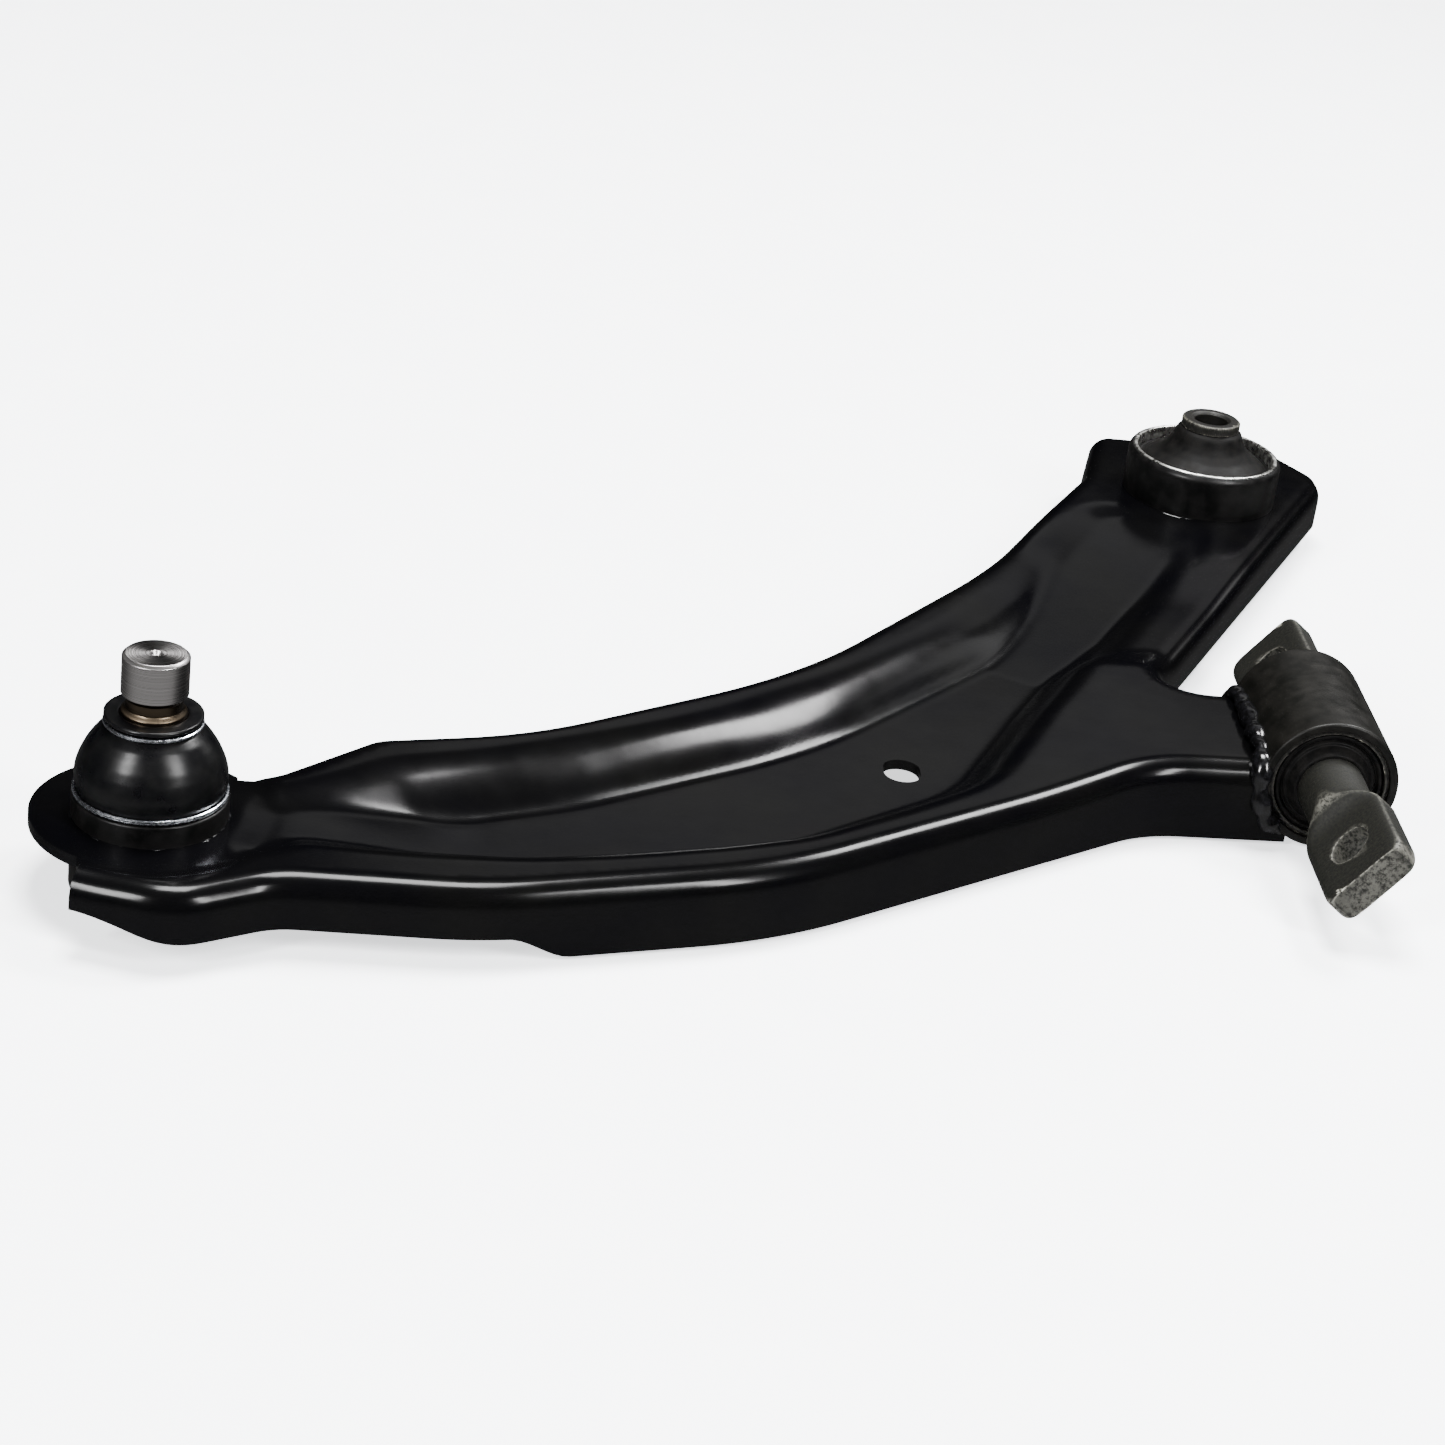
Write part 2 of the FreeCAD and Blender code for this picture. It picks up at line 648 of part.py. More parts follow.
def flat_end(body, name, end, direction):
    """One flat of the bar, from its end towards the middle."""
    half_width = size("bar_width") / 2
    half_thick = size("bar_thickness") / 2
    soft = 0.45 * size("bar_thickness")
    section = new_sketch(body, name + "_section", "XY_Plane", end)
    draw_wire(section, rounded_wire([
        (-half_width, -half_thick, soft),
        (half_width, -half_thick, soft),
        (half_width, half_thick, soft),
        (-half_width, half_thick, soft),
    ]))
    flat = body.newObject("PartDesign::Pad", name)
    flat.Profile = section
    flat.Reversed = direction < 0
    flat.setExpression("Length", bound("flat_length"))
    return flat


bar = new_body("front_bush_bar")
middle = new_sketch(bar, "bar_round_section", "XY_Plane", "-bar_front + flat_length - 4")
middle.addGeometry(Part.Circle(Vector(), Vector(0, 0, 1), size("bar_radius")))
number = middle.addConstraint(Sketcher.Constraint("Radius", 0, size("bar_radius")))
middle.setExpression(f"Constraints[{number}]", bound("bar_radius"))
round_part = bar.newObject("PartDesign::Pad", "bar_round")
round_part.Profile = middle
round_part.setExpression("Length", bound("bar_front + bar_back - 2*flat_length + 8"))
flat_end(bar, "bar_front_flat", "-bar_front", 1)
last_flat = flat_end(bar, "bar_back_flat", "bar_back", -1)
doc.recompute()
bar_ends = top_edges(last_flat, -size("bar_front"), 1) + top_edges(last_flat, size("bar_back"), 1)
rounding = bar.newObject("PartDesign::Chamfer", "bar_end_chamfer")
rounding.Base = (last_flat, bar_ends)
rounding.setExpression("Size", bound("bar_chamfer"))
doc.recompute()
holes = new_sketch(bar, "bar_holes_plan", "XZ_Plane")
for index, text in enumerate(("-bar_front + bar_hole_inset", "bar_back - bar_hole_inset")):
    holes.addGeometry(Part.Circle(Vector(0, size(text), 0), Vector(0, 0, 1), size("bar_hole_radius")))
    for kind, expression in (("DistanceX", "0"), ("DistanceY", text)):
        number = holes.addConstraint(Sketcher.Constraint(kind, -1, 1, index, 3, size(expression)))
        holes.setExpression(f"Constraints[{number}]", bound(expression))
    number = holes.addConstraint(Sketcher.Constraint("Radius", index, size("bar_hole_radius")))
    holes.setExpression(f"Constraints[{number}]", bound("bar_hole_radius"))
drilled = bar.newObject("PartDesign::Pocket", "bar_holes")
drilled.Profile = holes
drilled.Type = "ThroughAll"
drilled.Midplane = True
bar.Placement.Rotation = FreeCAD.Rotation(Vector(0, 1, 0), -size("bar_roll")) * LIE_ALONG_Y
place(bar, "front_axis_x", "front_tube_y", "front_axis_z")
doc.recompute()

# ---- beads between the leg and the tube ------------------------------------------------------

tube_block = cylinder("tube_block", "tube_radius", "tube_length + 4*sheet", "front_axis_x",
                      "front_tube_y - tube_length/2 - 2*sheet", "front_axis_z", along_y=True)


def leg_bead(label, y):
    """A bead that follows the tube round its leg side, cleared of tube and leg."""
    ring = doc.addObject("Part::Torus", label + "_ring")
    ring.setExpression("Radius1", bound("tube_radius + bead_swell"))
    ring.setExpression("Radius2", bound("weld_leg"))
    ring.setExpression("Angle3", bound("bead_sweep"))
    ring.Placement.Rotation = FreeCAD.Rotation(Vector(0, 1, 0), size("bead_start")) * LIE_ALONG_Y
    place(ring, "front_axis_x", y, "front_axis_z")
    return clear_of_neighbours(label, ring)


def clear_of_neighbours(label, bead):
    """Leaves only the part of a bead that stands outside the tube and the leg."""
    off_tube = cut(label + "_off_tube", bead, tube_block)
    return cut(label, off_tube, skin)


leg_bead("front_bush_weld_front", "front_tube_y - tube_length/2 + weld_leg/2")
leg_bead("front_bush_weld_rear", "front_tube_y + tube_length/2 - weld_leg/4")
clear_of_neighbours("front_bush_weld_top", cylinder(
    "top_bead", "weld_leg", "tube_length - 14",
    "front_axis_x - sqrt(tube_radius^2 - (crest_z - front_axis_z)^2)",
    "front_tube_y - tube_length/2 + 7", "crest_z", along_y=True))
doc.recompute()

# ---- checks and export -----------------------------------------------------------------------

NODES = [
    "arm_shell",
    "ball_joint_housing",
    "ball_housing_weld",
    "ball_seat",
    "ball_preload_ring",
    "ball_joint_cap",
    "ball_stud",
    "dust_boot",
    "boot_ring_upper",
    "boot_ring_lower",
    "rear_bush_housing",
    "rear_bush_weld",
    "rear_bush_outer_sleeve",
    "rear_bush_rubber",
    "rear_bush_inner_sleeve",
    "front_bush_tube",
    "front_bush_outer_sleeve",
    "front_bush_rubber",
    "front_bush_bar",
    "front_bush_weld_front",
    "front_bush_weld_rear",
    "front_bush_weld_top",
]

for thing in doc.Objects:
    if {"Invalid", "Error"} & set(thing.State):
        raise RuntimeError(f"{thing.Label} did not compute")
for name in NODES:
    shape = doc.getObject(name).Shape
    if shape.isNull() or not shape.isValid() or len(shape.Solids) != 1:
        raise RuntimeError(f"{name} is not one valid solid")

os.makedirs("parts", exist_ok=True)
for name in NODES:
    doc.getObject(name).Shape.exportStep(f"parts/{name}.step")
print(len(NODES), "parts written")
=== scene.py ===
import math
import bpy
import numpy as np
from mathutils import Matrix, Vector
from mathutils.geometry import delaunay_2d_cdt


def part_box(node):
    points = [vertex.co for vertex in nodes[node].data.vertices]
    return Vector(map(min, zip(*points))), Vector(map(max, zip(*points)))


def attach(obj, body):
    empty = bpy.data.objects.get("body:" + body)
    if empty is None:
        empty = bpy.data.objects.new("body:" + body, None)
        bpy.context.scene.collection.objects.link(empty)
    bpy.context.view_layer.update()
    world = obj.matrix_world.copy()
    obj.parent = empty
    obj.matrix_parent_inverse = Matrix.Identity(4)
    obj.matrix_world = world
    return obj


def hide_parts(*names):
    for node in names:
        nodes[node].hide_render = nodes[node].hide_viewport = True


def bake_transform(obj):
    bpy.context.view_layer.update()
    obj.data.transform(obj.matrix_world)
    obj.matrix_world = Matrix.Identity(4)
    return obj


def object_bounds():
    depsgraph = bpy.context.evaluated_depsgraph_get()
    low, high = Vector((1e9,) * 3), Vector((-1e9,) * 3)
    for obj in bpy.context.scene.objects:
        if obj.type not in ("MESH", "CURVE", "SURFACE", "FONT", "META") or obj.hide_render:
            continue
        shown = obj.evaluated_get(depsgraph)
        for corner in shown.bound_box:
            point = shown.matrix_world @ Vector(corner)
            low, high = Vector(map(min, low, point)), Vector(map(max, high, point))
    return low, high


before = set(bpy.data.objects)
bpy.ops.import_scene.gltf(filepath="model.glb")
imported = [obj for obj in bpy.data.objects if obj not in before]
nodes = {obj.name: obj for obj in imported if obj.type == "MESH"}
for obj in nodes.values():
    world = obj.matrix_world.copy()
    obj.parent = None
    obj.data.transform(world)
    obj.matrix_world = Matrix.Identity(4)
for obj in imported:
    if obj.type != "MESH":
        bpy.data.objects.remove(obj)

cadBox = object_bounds()
mm = 0.001


def centreOf(node):
    low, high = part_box(node)
    return (Vector(low) + Vector(high)) / 2


ball = centreOf("ball_joint_housing")       # axis of the stud
rear = centreOf("rear_bush_housing")        # axis of the upright bush
tube = centreOf("front_bush_tube")          # middle of the lying bush
ball.z = rear.z = 0.0
floorZ = cadBox[0][2]


def linear(hexText):
    # sRGB hex to the linear colour that the shaders want
    parts = [int(hexText[i:i + 2], 16) / 255 for i in (0, 2, 4)]
    return tuple(p / 12.92 if p <= 0.04045 else ((p + 0.055) / 1.055) ** 2.4 for p in parts) + (1.0,)


def fresh(obj, name):
    obj.name = name
    obj.data.name = name
    return obj


def editing(obj):
    bpy.ops.object.select_all(action="DESELECT")
    obj.select_set(True)
    bpy.context.view_layer.objects.active = obj
    bpy.ops.object.mode_set(mode="EDIT")
    bpy.ops.mesh.select_all(action="SELECT")


def done(obj, outward=True, smooth=35):
    # leave edit mode, bake the place into the mesh, shade it
    if outward:
        bpy.ops.mesh.select_all(action="SELECT")
        bpy.ops.mesh.remove_doubles(threshold=0.00002)
        bpy.ops.mesh.normals_make_consistent(inside=False)
    bpy.ops.object.mode_set(mode="OBJECT")
    bpy.ops.object.transform_apply(location=True, rotation=True, scale=True)
    bpy.ops.object.shade_smooth_by_angle(angle=math.radians(smooth))
    return obj


def applied(obj, kind, **settings):
    # add a modifier and apply it at once
    bpy.ops.object.select_all(action="DESELECT")
    obj.select_set(True)
    bpy.context.view_layer.objects.active = obj
    modifier = obj.modifiers.new(kind.lower(), kind)
    for key, value in settings.items():
        setattr(modifier, key, value)
    bpy.ops.object.modifier_apply(modifier=modifier.name)


def roundedRun(corners, spacing, closed=True):
    # (x, y, radius) corners to evenly stepped points, with true arcs in the corners
    count = len(corners)
    run = []
    for i, (x, y, radius) in enumerate(corners):
        here = Vector((x, y))
        if not closed and i in (0, count - 1):
            run.append(here)
            continue
        before = Vector(corners[i - 1][:2]) - here
        after = Vector(corners[(i + 1) % count][:2]) - here
        room = 0.48 * min(before.length, after.length)
        before.normalize()
        after.normalize()
        half = before.angle(after) / 2
        reach = min(radius / math.tan(half), room) if radius > 0 else 0
        if reach <= 0:
            run.append(here)
            continue
        radius = reach * math.tan(half)
        middle = here + (before + after).normalized() * radius / math.sin(half)
        start = here + before * reach - middle
        sweep = start.angle_signed(here + after * reach - middle)
        steps = max(2, round(abs(sweep) * radius / spacing), round(abs(sweep) / 0.26))
        for k in range(steps + 1):
            turned = Matrix.Rotation(-sweep * k / steps, 2) @ start
            run.append(middle + turned)
    full = []
    total = len(run) if closed else len(run) - 1
    for i in range(total):
        a, b = run[i], run[(i + 1) % len(run)]
        parts = max(1, round((b - a).length / spacing))
        full += [a.lerp(b, k / parts) for k in range(parts)]
    if not closed:
        full.append(run[-1])
    return full


def turned(name, profile, centre, segments=96, lying=False, spacing=0.6, smooth=35):
    # a lathe piece: a ring drawn up and in or out along its profile, in mm
    run = roundedRun([(*p, 0) if len(p) == 2 else p for p in profile], spacing)
    run.append(run[0])
    start = next(i for i, p in enumerate(run) if p.x > 0.01)
    run = run[start:-1] + run[:start + 1]
    bpy.ops.object.select_all(action="DESELECT")
    bpy.ops.mesh.primitive_circle_add(vertices=segments, radius=run[0].x * mm, location=(0, 0, run[0].y * mm))
    piece = fresh(bpy.context.object, name)
    editing(piece)
    radius = run[0].x
    for a, b in zip(run, run[1:]):
        goal = max(b.x, 0.005)
        bpy.ops.mesh.extrude_edges_move(TRANSFORM_OT_translate={"value": (0, 0, (b.y - a.y) * mm)})
        bpy.ops.transform.resize(value=(goal / radius, goal / radius, 1), center_override=(0, 0, 0))
        radius = goal
    bpy.ops.mesh.select_all(action="SELECT")
    bpy.ops.mesh.remove_doubles(threshold=0.00002)
    bpy.ops.mesh.delete_loose()
    bpy.ops.object.mode_set(mode="OBJECT")
    piece.matrix_world = Matrix.Translation(centre) @ (
        Matrix.Rotation(math.radians(-90), 4, "X") if lying else Matrix.Identity(4)) @ piece.matrix_world
    editing(piece)
    return done(piece, smooth=smooth)


pressing = {
    "sheet": 3.2,            # mm, all over
    "bend": 7.0,             # outside radius where top turns into wall
    "crest": -2.0,           # height of the ribs
    "land": -3.7,            # height round the ball joint
    "floor": -13.0,          # lowest part of the web
    "padRise": 1.8,          # pad under the rear bush above the ribs
    "legRise": 3.0,          # leg at the tube above the ribs
    "wallBottom": -17.0,
    "deepBottom": -23.5,     # front wall, from the step to the leg
    "grid": 1.7,             # mesh size of the top
    "column": 2.4,           # mesh size along the walls
}


def at(anchor, dx, dy, radius=0.0):
    return (anchor.x / mm + dx, anchor.y / mm + dy, radius)


middle = (ball + rear) / 2
frontEdge = [                 # outside of the front wall, outer end to tube
    at(ball, -15.4, -40.6), at(ball, 12, -48, 22), at(ball, 37, -33, 22), at(ball, 92, -31, 110),
    at(middle, 3, -158.5, 150), at(tube, -54, -29.5, 40), at(tube, -10, -26),
]
backEdge = [                  # behind the leg, round the pad and back to the outer end
    at(tube, -10, 27), at(tube, -47, 27, 14), at(rear, 51, 22, 15), at(rear, 51, 31, 9),
    at(rear, 38, 53.5, 14), at(rear, -31, 53.5, 8), at(rear, -41, 10, 30), at(rear, -88, -83, 300),
    at(middle, 12, -26, 220), at(ball, 99, 69, 120), at(ball, 56, 56.5, 14), at(ball, 29, 28, 14), at(ball, 21, 28),
]
# top edge of the sunk web; the fourth number is how softly it rolls over there
webEdge = [
    (*at(ball, 26, -20, 6), 5), (*at(ball, 41, -9, 10), 6), (*at(ball, 101, -8, 60), 5),
    (*at(ball, 155, 8, 90), 5), (*at(middle, 12, -134, 60), 5), (*at(tube, -104, -42.5, 60), 6),
    (*at(tube, -80, 11.5, 40), 6), (*at(tube, -63, 46, 8), 5), (*at(rear, -45, -128, 20), 6),
    (*at(rear, -1, -25, 12), 7), (*at(rear, -40, -26, 14), 9), (*at(rear, -62, -64, 60), 10),
    (*at(middle, 82, 33, 160), 12), (*at(middle, 10, -53, 200), 12), (*at(ball, 110, 53, 100), 12),
    (*at(ball, 66, 33, 30), 13), (*at(ball, 34, 10, 14), 12), (*at(ball, 30, -6, 20), 7),
]


def distances(points, loop):
    # distance from each point to a closed outline, the nearest outline step, and whether it lies inside
    best = np.full(len(points), 1e9)
    nearest = np.zeros(len(points), int)
    inside = np.zeros(len(points), bool)
    for i in range(len(loop)):
        a, b = loop[i], loop[(i + 1) % len(loop)]
        step = b - a
        t = np.clip(((points - a) @ step) / (step @ step), 0, 1)
        gap = np.hypot(*(points - a - t[:, None] * step).T)
        closer = gap < best
        best[closer] = gap[closer]
        nearest[closer] = i
        crossing = (a[1] > points[:, 1]) != (b[1] > points[:, 1])
        rise = step[1] if step[1] else 1e-9
        inside ^= crossing & (points[:, 0] < a[0] + (points[:, 1] - a[1]) * step[0] / rise)
    return best, nearest, inside


def ease(x, low, high):
    t = np.clip((x - low) / (high - low), 0, 1)
    return t * t * (3 - 2 * t)


def softMax(a, b, k):
    h = np.clip(0.5 + 0.5 * (a - b) / k, 0, 1)
    return b + (a - b) * h + k * h * (1 - h)


webLoop = np.array([tuple(p) for p in roundedRun([c[:3] for c in webEdge], 2.0)])
webCorners = np.array([c[:2] for c in webEdge])
webSoft = np.array([c[3] for c in webEdge], float)
# softness at every step of the outline, shared out between the corners near it
nearness = 1 / (np.hypot(*(webLoop[:, None] - webCorners[None]).transpose(2, 0, 1)) ** 2 + 60)
loopSoft = (nearness * webSoft).sum(1) / nearness.sum(1)


def pressedHeight(points):
    # height of the top surface without the bend at its edge
    p = pressing
    fromBall = np.hypot(points[:, 0] - ball.x / mm, points[:, 1] - ball.y / mm)
    fromRear = np.hypot(points[:, 0], points[:, 1])
    crest = p["land"] + (p["crest"] - p["land"]) * ease(fromBall, 33, 37.5)
    crest += p["padRise"] * (1 - ease(fromRear, 55, 105))
    crest += p["legRise"] * ease(points[:, 0], -95, -35) * (1 - ease(points[:, 1], -161, -140))
    ramp = np.clip((fromRear - 40) / 130, 0, 1)
    web = p["floor"] + 8.8 * (1 - ease(fromBall, 33, 92)) + 11.5 * (1 - (0.75 * ramp + 0.25 * ease(fromRear, 40, 170)))
    gap, nearest, inside = distances(points, webLoop)
    reach = np.where(inside, gap, -gap)
    soft = loopSoft[nearest]
    drop = softMax(reach, 0 * reach, soft)
    full = crest - web
    drop = full - softMax(full - drop, 0 * drop, 2.5)
    return crest - drop


def smoothedHeight(points):
    ring = [(0, 0)] + [(1.3 * math.cos(k * math.pi / 3), 1.3 * math.sin(k * math.pi / 3)) for k in range(6)]
    return sum(pressedHeight(points + np.array(offset)) for offset in ring) / len(ring)


def inwardOf(run):
    # unit vectors to the left of an open run
    tangents = [(run[min(i + 1, len(run) - 1)] - run[max(i - 1, 0)]).normalized() for i in range(len(run))]
    return [Vector((-t.y, t.x)) for t in tangents]


def wallBottom(x, y, front):
    p = pressing
    if front:
        deep = ease(np.array([x]), -239, -222)[0]
        lift = 5.0 * (1 - ease(np.array([x]), -353, -322)[0])
        return p["wallBottom"] + deep * (p["deepBottom"] - p["wallBottom"]) + lift
    nearLeg = 1 - ease(np.array([y]), -158, -138)[0]
    neck = 6.0 * (1 - ease(np.array([x]), -317, -303)[0])
    return p["wallBottom"] + nearLeg * (p["deepBottom"] - p["wallBottom"]) + neck


def makePressing():
    p = pressing
    bend = p["bend"]
    runs = [roundedRun(frontEdge, p["column"], closed=False), roundedRun(backEdge, p["column"], closed=False)]
    inner = [[a + n * bend for a, n in zip(run, inwardOf(run))] for run in runs]
    # rim of the flat part: both inner lines, the leg's end and the round outer end
    angles = [math.atan2(24.15, 21), 2 * math.pi + math.atan2(-28.05, -15.4)]
    radius = 32.0
    steps = 64
    lobe = [Vector((ball.x / mm + radius * math.cos(angles[0] + (angles[1] - angles[0]) * k / steps),
                    ball.y / mm + radius * math.sin(angles[0] + (angles[1] - angles[0]) * k / steps)))
            for k in range(steps + 1)]
    legEnd = [inner[0][-1].lerp(inner[1][0], k / 20) for k in range(1, 20)]
    neck = [inner[1][-1].lerp(lobe[0], k / 3) for k in range(1, 3)]
    notch = [lobe[-1].lerp(inner[0][0], k / 3) for k in range(1, 3)]
    rim = inner[0] + legEnd + inner[1] + neck + lobe + notch
    # holes: ball joint, rear bush and drain
    hole = at(middle, 43.7, -68.6)
    circles = [(ball.x / mm, ball.y / mm, 21.0, 0), (0.0, 0.0, 27.4, 0), (hole[0], hole[1], 5.6, 1.7)]
    holes = [[Vector((cx + r * math.cos(a), cy + r * math.sin(a) + stretch * math.copysign(1, math.sin(a))))
              for a in [2 * math.pi * (k + 0.5) / n for k in range(n)]]
             for cx, cy, r, stretch, n in [(*c, 72 if c[2] > 10 else 28) for c in circles]]
    # points of the flat part
    pitch = p["grid"]
    low = np.array([min(v.x for v in rim), min(v.y for v in rim)])
    high = np.array([max(v.x for v in rim), max(v.y for v in rim)])
    rows = np.arange(low[1], high[1], pitch * 0.866)
    grid = np.array([(x + (pitch / 2 if r % 2 else 0), y) for r, y in enumerate(rows)
                     for x in np.arange(low[0], high[0], pitch)])
    gap, _, inside = distances(grid, np.array([tuple(v) for v in rim]))
    keep = inside & (gap > 0.55 * pitch)
    for loop in holes:
        gap, _, within = distances(grid, np.array([tuple(v) for v in loop]))
        keep &= ~within & (gap > 0.55 * pitch)
    flat = list(rim)
    edges = [(i, (i + 1) % len(rim)) for i in range(len(rim))]
    for loop in holes:
        first = len(flat)
        flat += loop
        edges += [(first + i, first + (i + 1) % len(loop)) for i in range(len(loop))]
    flat += [Vector(g) for g in grid[keep]]
    spots, _, faces, origin, _, _ = delaunay_2d_cdt(flat, edges, [], 1, 1e-5)
    spots = np.array([tuple(v) for v in spots])
    centres = np.array([spots[list(f)].mean(0) for f in faces])
    _, _, ok = distances(centres, np.array([tuple(v) for v in rim]))
    for loop in holes:
        ok &= ~distances(centres, np.array([tuple(v) for v in loop]))[2]
    heights = smoothedHeight(spots)
    # walls: rows down from each inner line, round the bend and straight to the bottom
    verts = [(x, y, z) for (x, y), z in zip(spots, heights)]
    quads = [tuple(f) for f, fine in zip(faces, ok) if fine]
    for run, line, front in zip(runs, inner, (True, False)):
        tops = smoothedHeight(np.array([tuple(v) for v in line]))
        columns = []
        for outer, inside, top in zip(run, line, tops):
            bottom = wallBottom(outer.x, outer.y, front)
            column = []
            turns = 8
            for k in range(turns + 1):
                angle = math.pi / 2 * k / turns
                spot = inside.lerp(outer, math.sin(angle))
                column.append((spot.x, spot.y, top - bend * (1 - math.cos(angle))))
            for k in range(1, 6):
                z = (top - bend) + (bottom - top + bend) * k / 5
                column.append((outer.x, outer.y, z))
            columns.append(column)
        for a, b in zip(columns, columns[1:]):
            for k in range(len(a) - 1):
                first = len(verts)
                verts += [a[k], a[k + 1], b[k + 1], b[k]]
                quads.append((first, first + 1, first + 2, first + 3))
    mesh = bpy.data.meshes.new("arm_pressing")
    mesh.from_pydata([(x * mm, y * mm, z * mm) for x, y, z in verts], [], quads)
    arm = bpy.data.objects.new("arm_pressing", mesh)
    bpy.context.collection.objects.link(arm)
    bpy.ops.object.select_all(action="DESELECT")
    editing(arm)
    bpy.ops.mesh.remove_doubles(threshold=0.00003)
    bpy.ops.mesh.normals_make_consistent(inside=False)
    bpy.ops.object.mode_set(mode="OBJECT")
    if sum(f.normal.z for f in mesh.polygons) < 0:
        mesh.flip_normals()
    applied(arm, "SOLIDIFY", thickness=p["sheet"] * mm, offset=-1, use_even_offset=False)
    return arm


arm = makePressing()
# the tube lies in a round cut at the end of the leg
bpy.ops.object.select_all(action="DESELECT")
bpy.ops.mesh.primitive_cylinder_add(vertices=128, radius=20.7 * mm, depth=0.08, location=tube, rotation=(math.pi / 2, 0, 0))
cutter = bpy.context.object
applied(arm, "BOOLEAN", object=cutter, operation="DIFFERENCE", solver="EXACT")
bpy.data.objects.remove(cutter)
applied(arm, "BEVEL", width=0.45 * mm, segments=2, limit_method="ANGLE", angle_limit=math.radians(55))
editing(arm)
done(arm, smooth=38)
print("arm pressing", len(arm.data.polygons), "faces")
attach(arm, "arm")
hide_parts("arm_shell")


ballJoint = {
    "shoulder": 3.0, "neckTop": 7.0, "bottom": -25.0,   # heights, mm
    "housing": 21.0, "ballRadius": 12.5, "ballHeight": -9.0,
    "studTop": 43.8, "stud": 9.0,
    "weldPitch": 4.6,                                    # length of one weld ripple
}
b = ballJoint
housing = turned("ball_housing", [
    (14.5, -25, .3), (21, -25, .9), (21, 3, .7), (17.3, 3, .3), (17.3, 7, .6), (15.3, 7, .6), (11.5, -2.5, .4),
    (15.5, -2.5), (15.5, -22), (17.5, -22), (17.5, -24), (14.5, -24, .3)], ball, 128)
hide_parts("ball_joint_housing")
cap = turned("ball_cap", [(0, -24), (5, -24, 1), (7.5, -23.2, 1), (15, -23.2, .6), (16, -24, .6), (17.5, -24, .3),
                          (17.5, -22), (0, -22)], ball)
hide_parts("ball_joint_cap")

globe = [(b["ballRadius"] * math.cos(a), b["ballHeight"] + b["ballRadius"] * math.sin(a))
         for a in [math.radians(-86 + 7 * k) for k in range(20)] if a < math.acos(7.3 / 12.5)]
stud = turned("ball_stud_turned", [(0, -21.5)] + globe + [
    (7.3, 1.2, .4), (7.3, 4.5, 3), (9, 13, 2), (9, 26.6, .2), (8.75, 27.4, .8), (7.7, 28.6, .8), (7.6, 31.4, .8),
    (9, 32.6, .3), (9, 43, .35), (8.1, 43.8, .35), (1.7, 43.8, .2), (1.1, 42.8, .2), (0, 42.5)], ball, 128, spacing=0.5)
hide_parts("ball_stud")

bootOuter = [(19.7, 3, .3), (19.7, 4.6, 1), (20.3, 6.6, 3), (20.45, 8.8, 6), (20.2, 11, 9), (19.4, 13.5, 9), (18.1, 16.4, 9),
             (16.5, 19, 9), (14.8, 21.2, 5), (13.1, 22.7, .8), (12.2, 23.4, .5), (12.2, 25.2, .5), (13.2, 25.4, .5),
             (13.2, 26.6, .5)]
bootInner = [(9.05, 26.6, .3), (9.05, 22.6, .4), (11.6, 21.4, 2), (14.9, 18.6, 6), (17, 15.4, 6), (18.6, 11.6, 6),
             (18.8, 8.4, 3), (17.3, 6.4, .4), (17.3, 3, .3)]
seam = 13.5
bootWall = [roundedRun(side, 0.6, closed=False) for side in (bootOuter, bootInner)]


def wallAt(run, height):
    # radius of a wall line at a height
    for a, b in zip(run, run[1:]):
        if (a.y - height) * (b.y - height) <= 0 and a.y != b.y:
            return a.lerp(b, (height - a.y) / (b.y - a.y)).x


def bootHalf(name, upper):
    # the boot above or below the seam, one of the two halves it is made as
    outer, inner = [[(p.x, p.y) for p in run if (p.y > seam + 0.05 if upper else p.y < seam - 0.05)] for run in bootWall]
    edge = [(wallAt(run, seam), seam) for run in bootWall]
    half = turned(name, edge[:1] + outer + inner + edge[1:] if upper else outer + edge + inner, ball, 128)
    # the whole boot lends its shading, so that the seam doesn't show
    applied(half, "DATA_TRANSFER", object=wholeBoot, use_loop_data=True, data_types_loops={"CUSTOM_NORMAL"},
            loop_mapping="POLYINTERP_NEAREST")
    return half


wholeBoot = turned("boot_whole", bootOuter + bootInner, ball, 128)
bootFoot = bootHalf("boot_lower_half", False)
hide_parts("dust_boot")
bootNeck = bootHalf("boot_upper_half", True)
bpy.data.objects.remove(wholeBoot)


def wireRing(name, centre, radius, wire, low, turns, gapAt):
    # wire wound round, its two ends side by side
    steps = int(72 * turns)
    path = bpy.data.curves.new(name, "CURVE")
    path.dimensions = "3D"
    path.bevel_depth = wire * mm
    path.bevel_resolution = 3
    path.use_fill_caps = True
    spline = path.splines.new("POLY")
    spline.points.add(steps)
    rise = 2.04 * wire if turns > 1.3 else 0.0
    for k in range(steps + 1):
        angle = gapAt + 2 * math.pi * turns * k / steps
        height = low + wire + rise * k / steps * turns / max(1, turns - 1) * 0.5 if turns > 1.3 else low + wire
        spline.points[k].co = (*(centre + Vector((radius * math.cos(angle), radius * math.sin(angle), height)) * mm), 1)
    ring = bpy.data.objects.new(name, path)
    bpy.context.collection.objects.link(ring)
    bpy.ops.object.select_all(action="DESELECT")
    ring.select_set(True)
    bpy.context.view_layer.objects.active = ring
    bpy.ops.object.convert(target="MESH")
    ring = fresh(bpy.context.object, name)
    editing(ring)
    return done(ring)


ringUpper = wireRing("boot_ring_top", ball, 12.9, 0.52, 23.7, 0.985, 2.2)
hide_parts("boot_ring_upper")
ringLower = wireRing("boot_ring_foot", ball, 20.3, 0.48, 3.0, 1.94, 0.6)
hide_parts("boot_ring_lower")


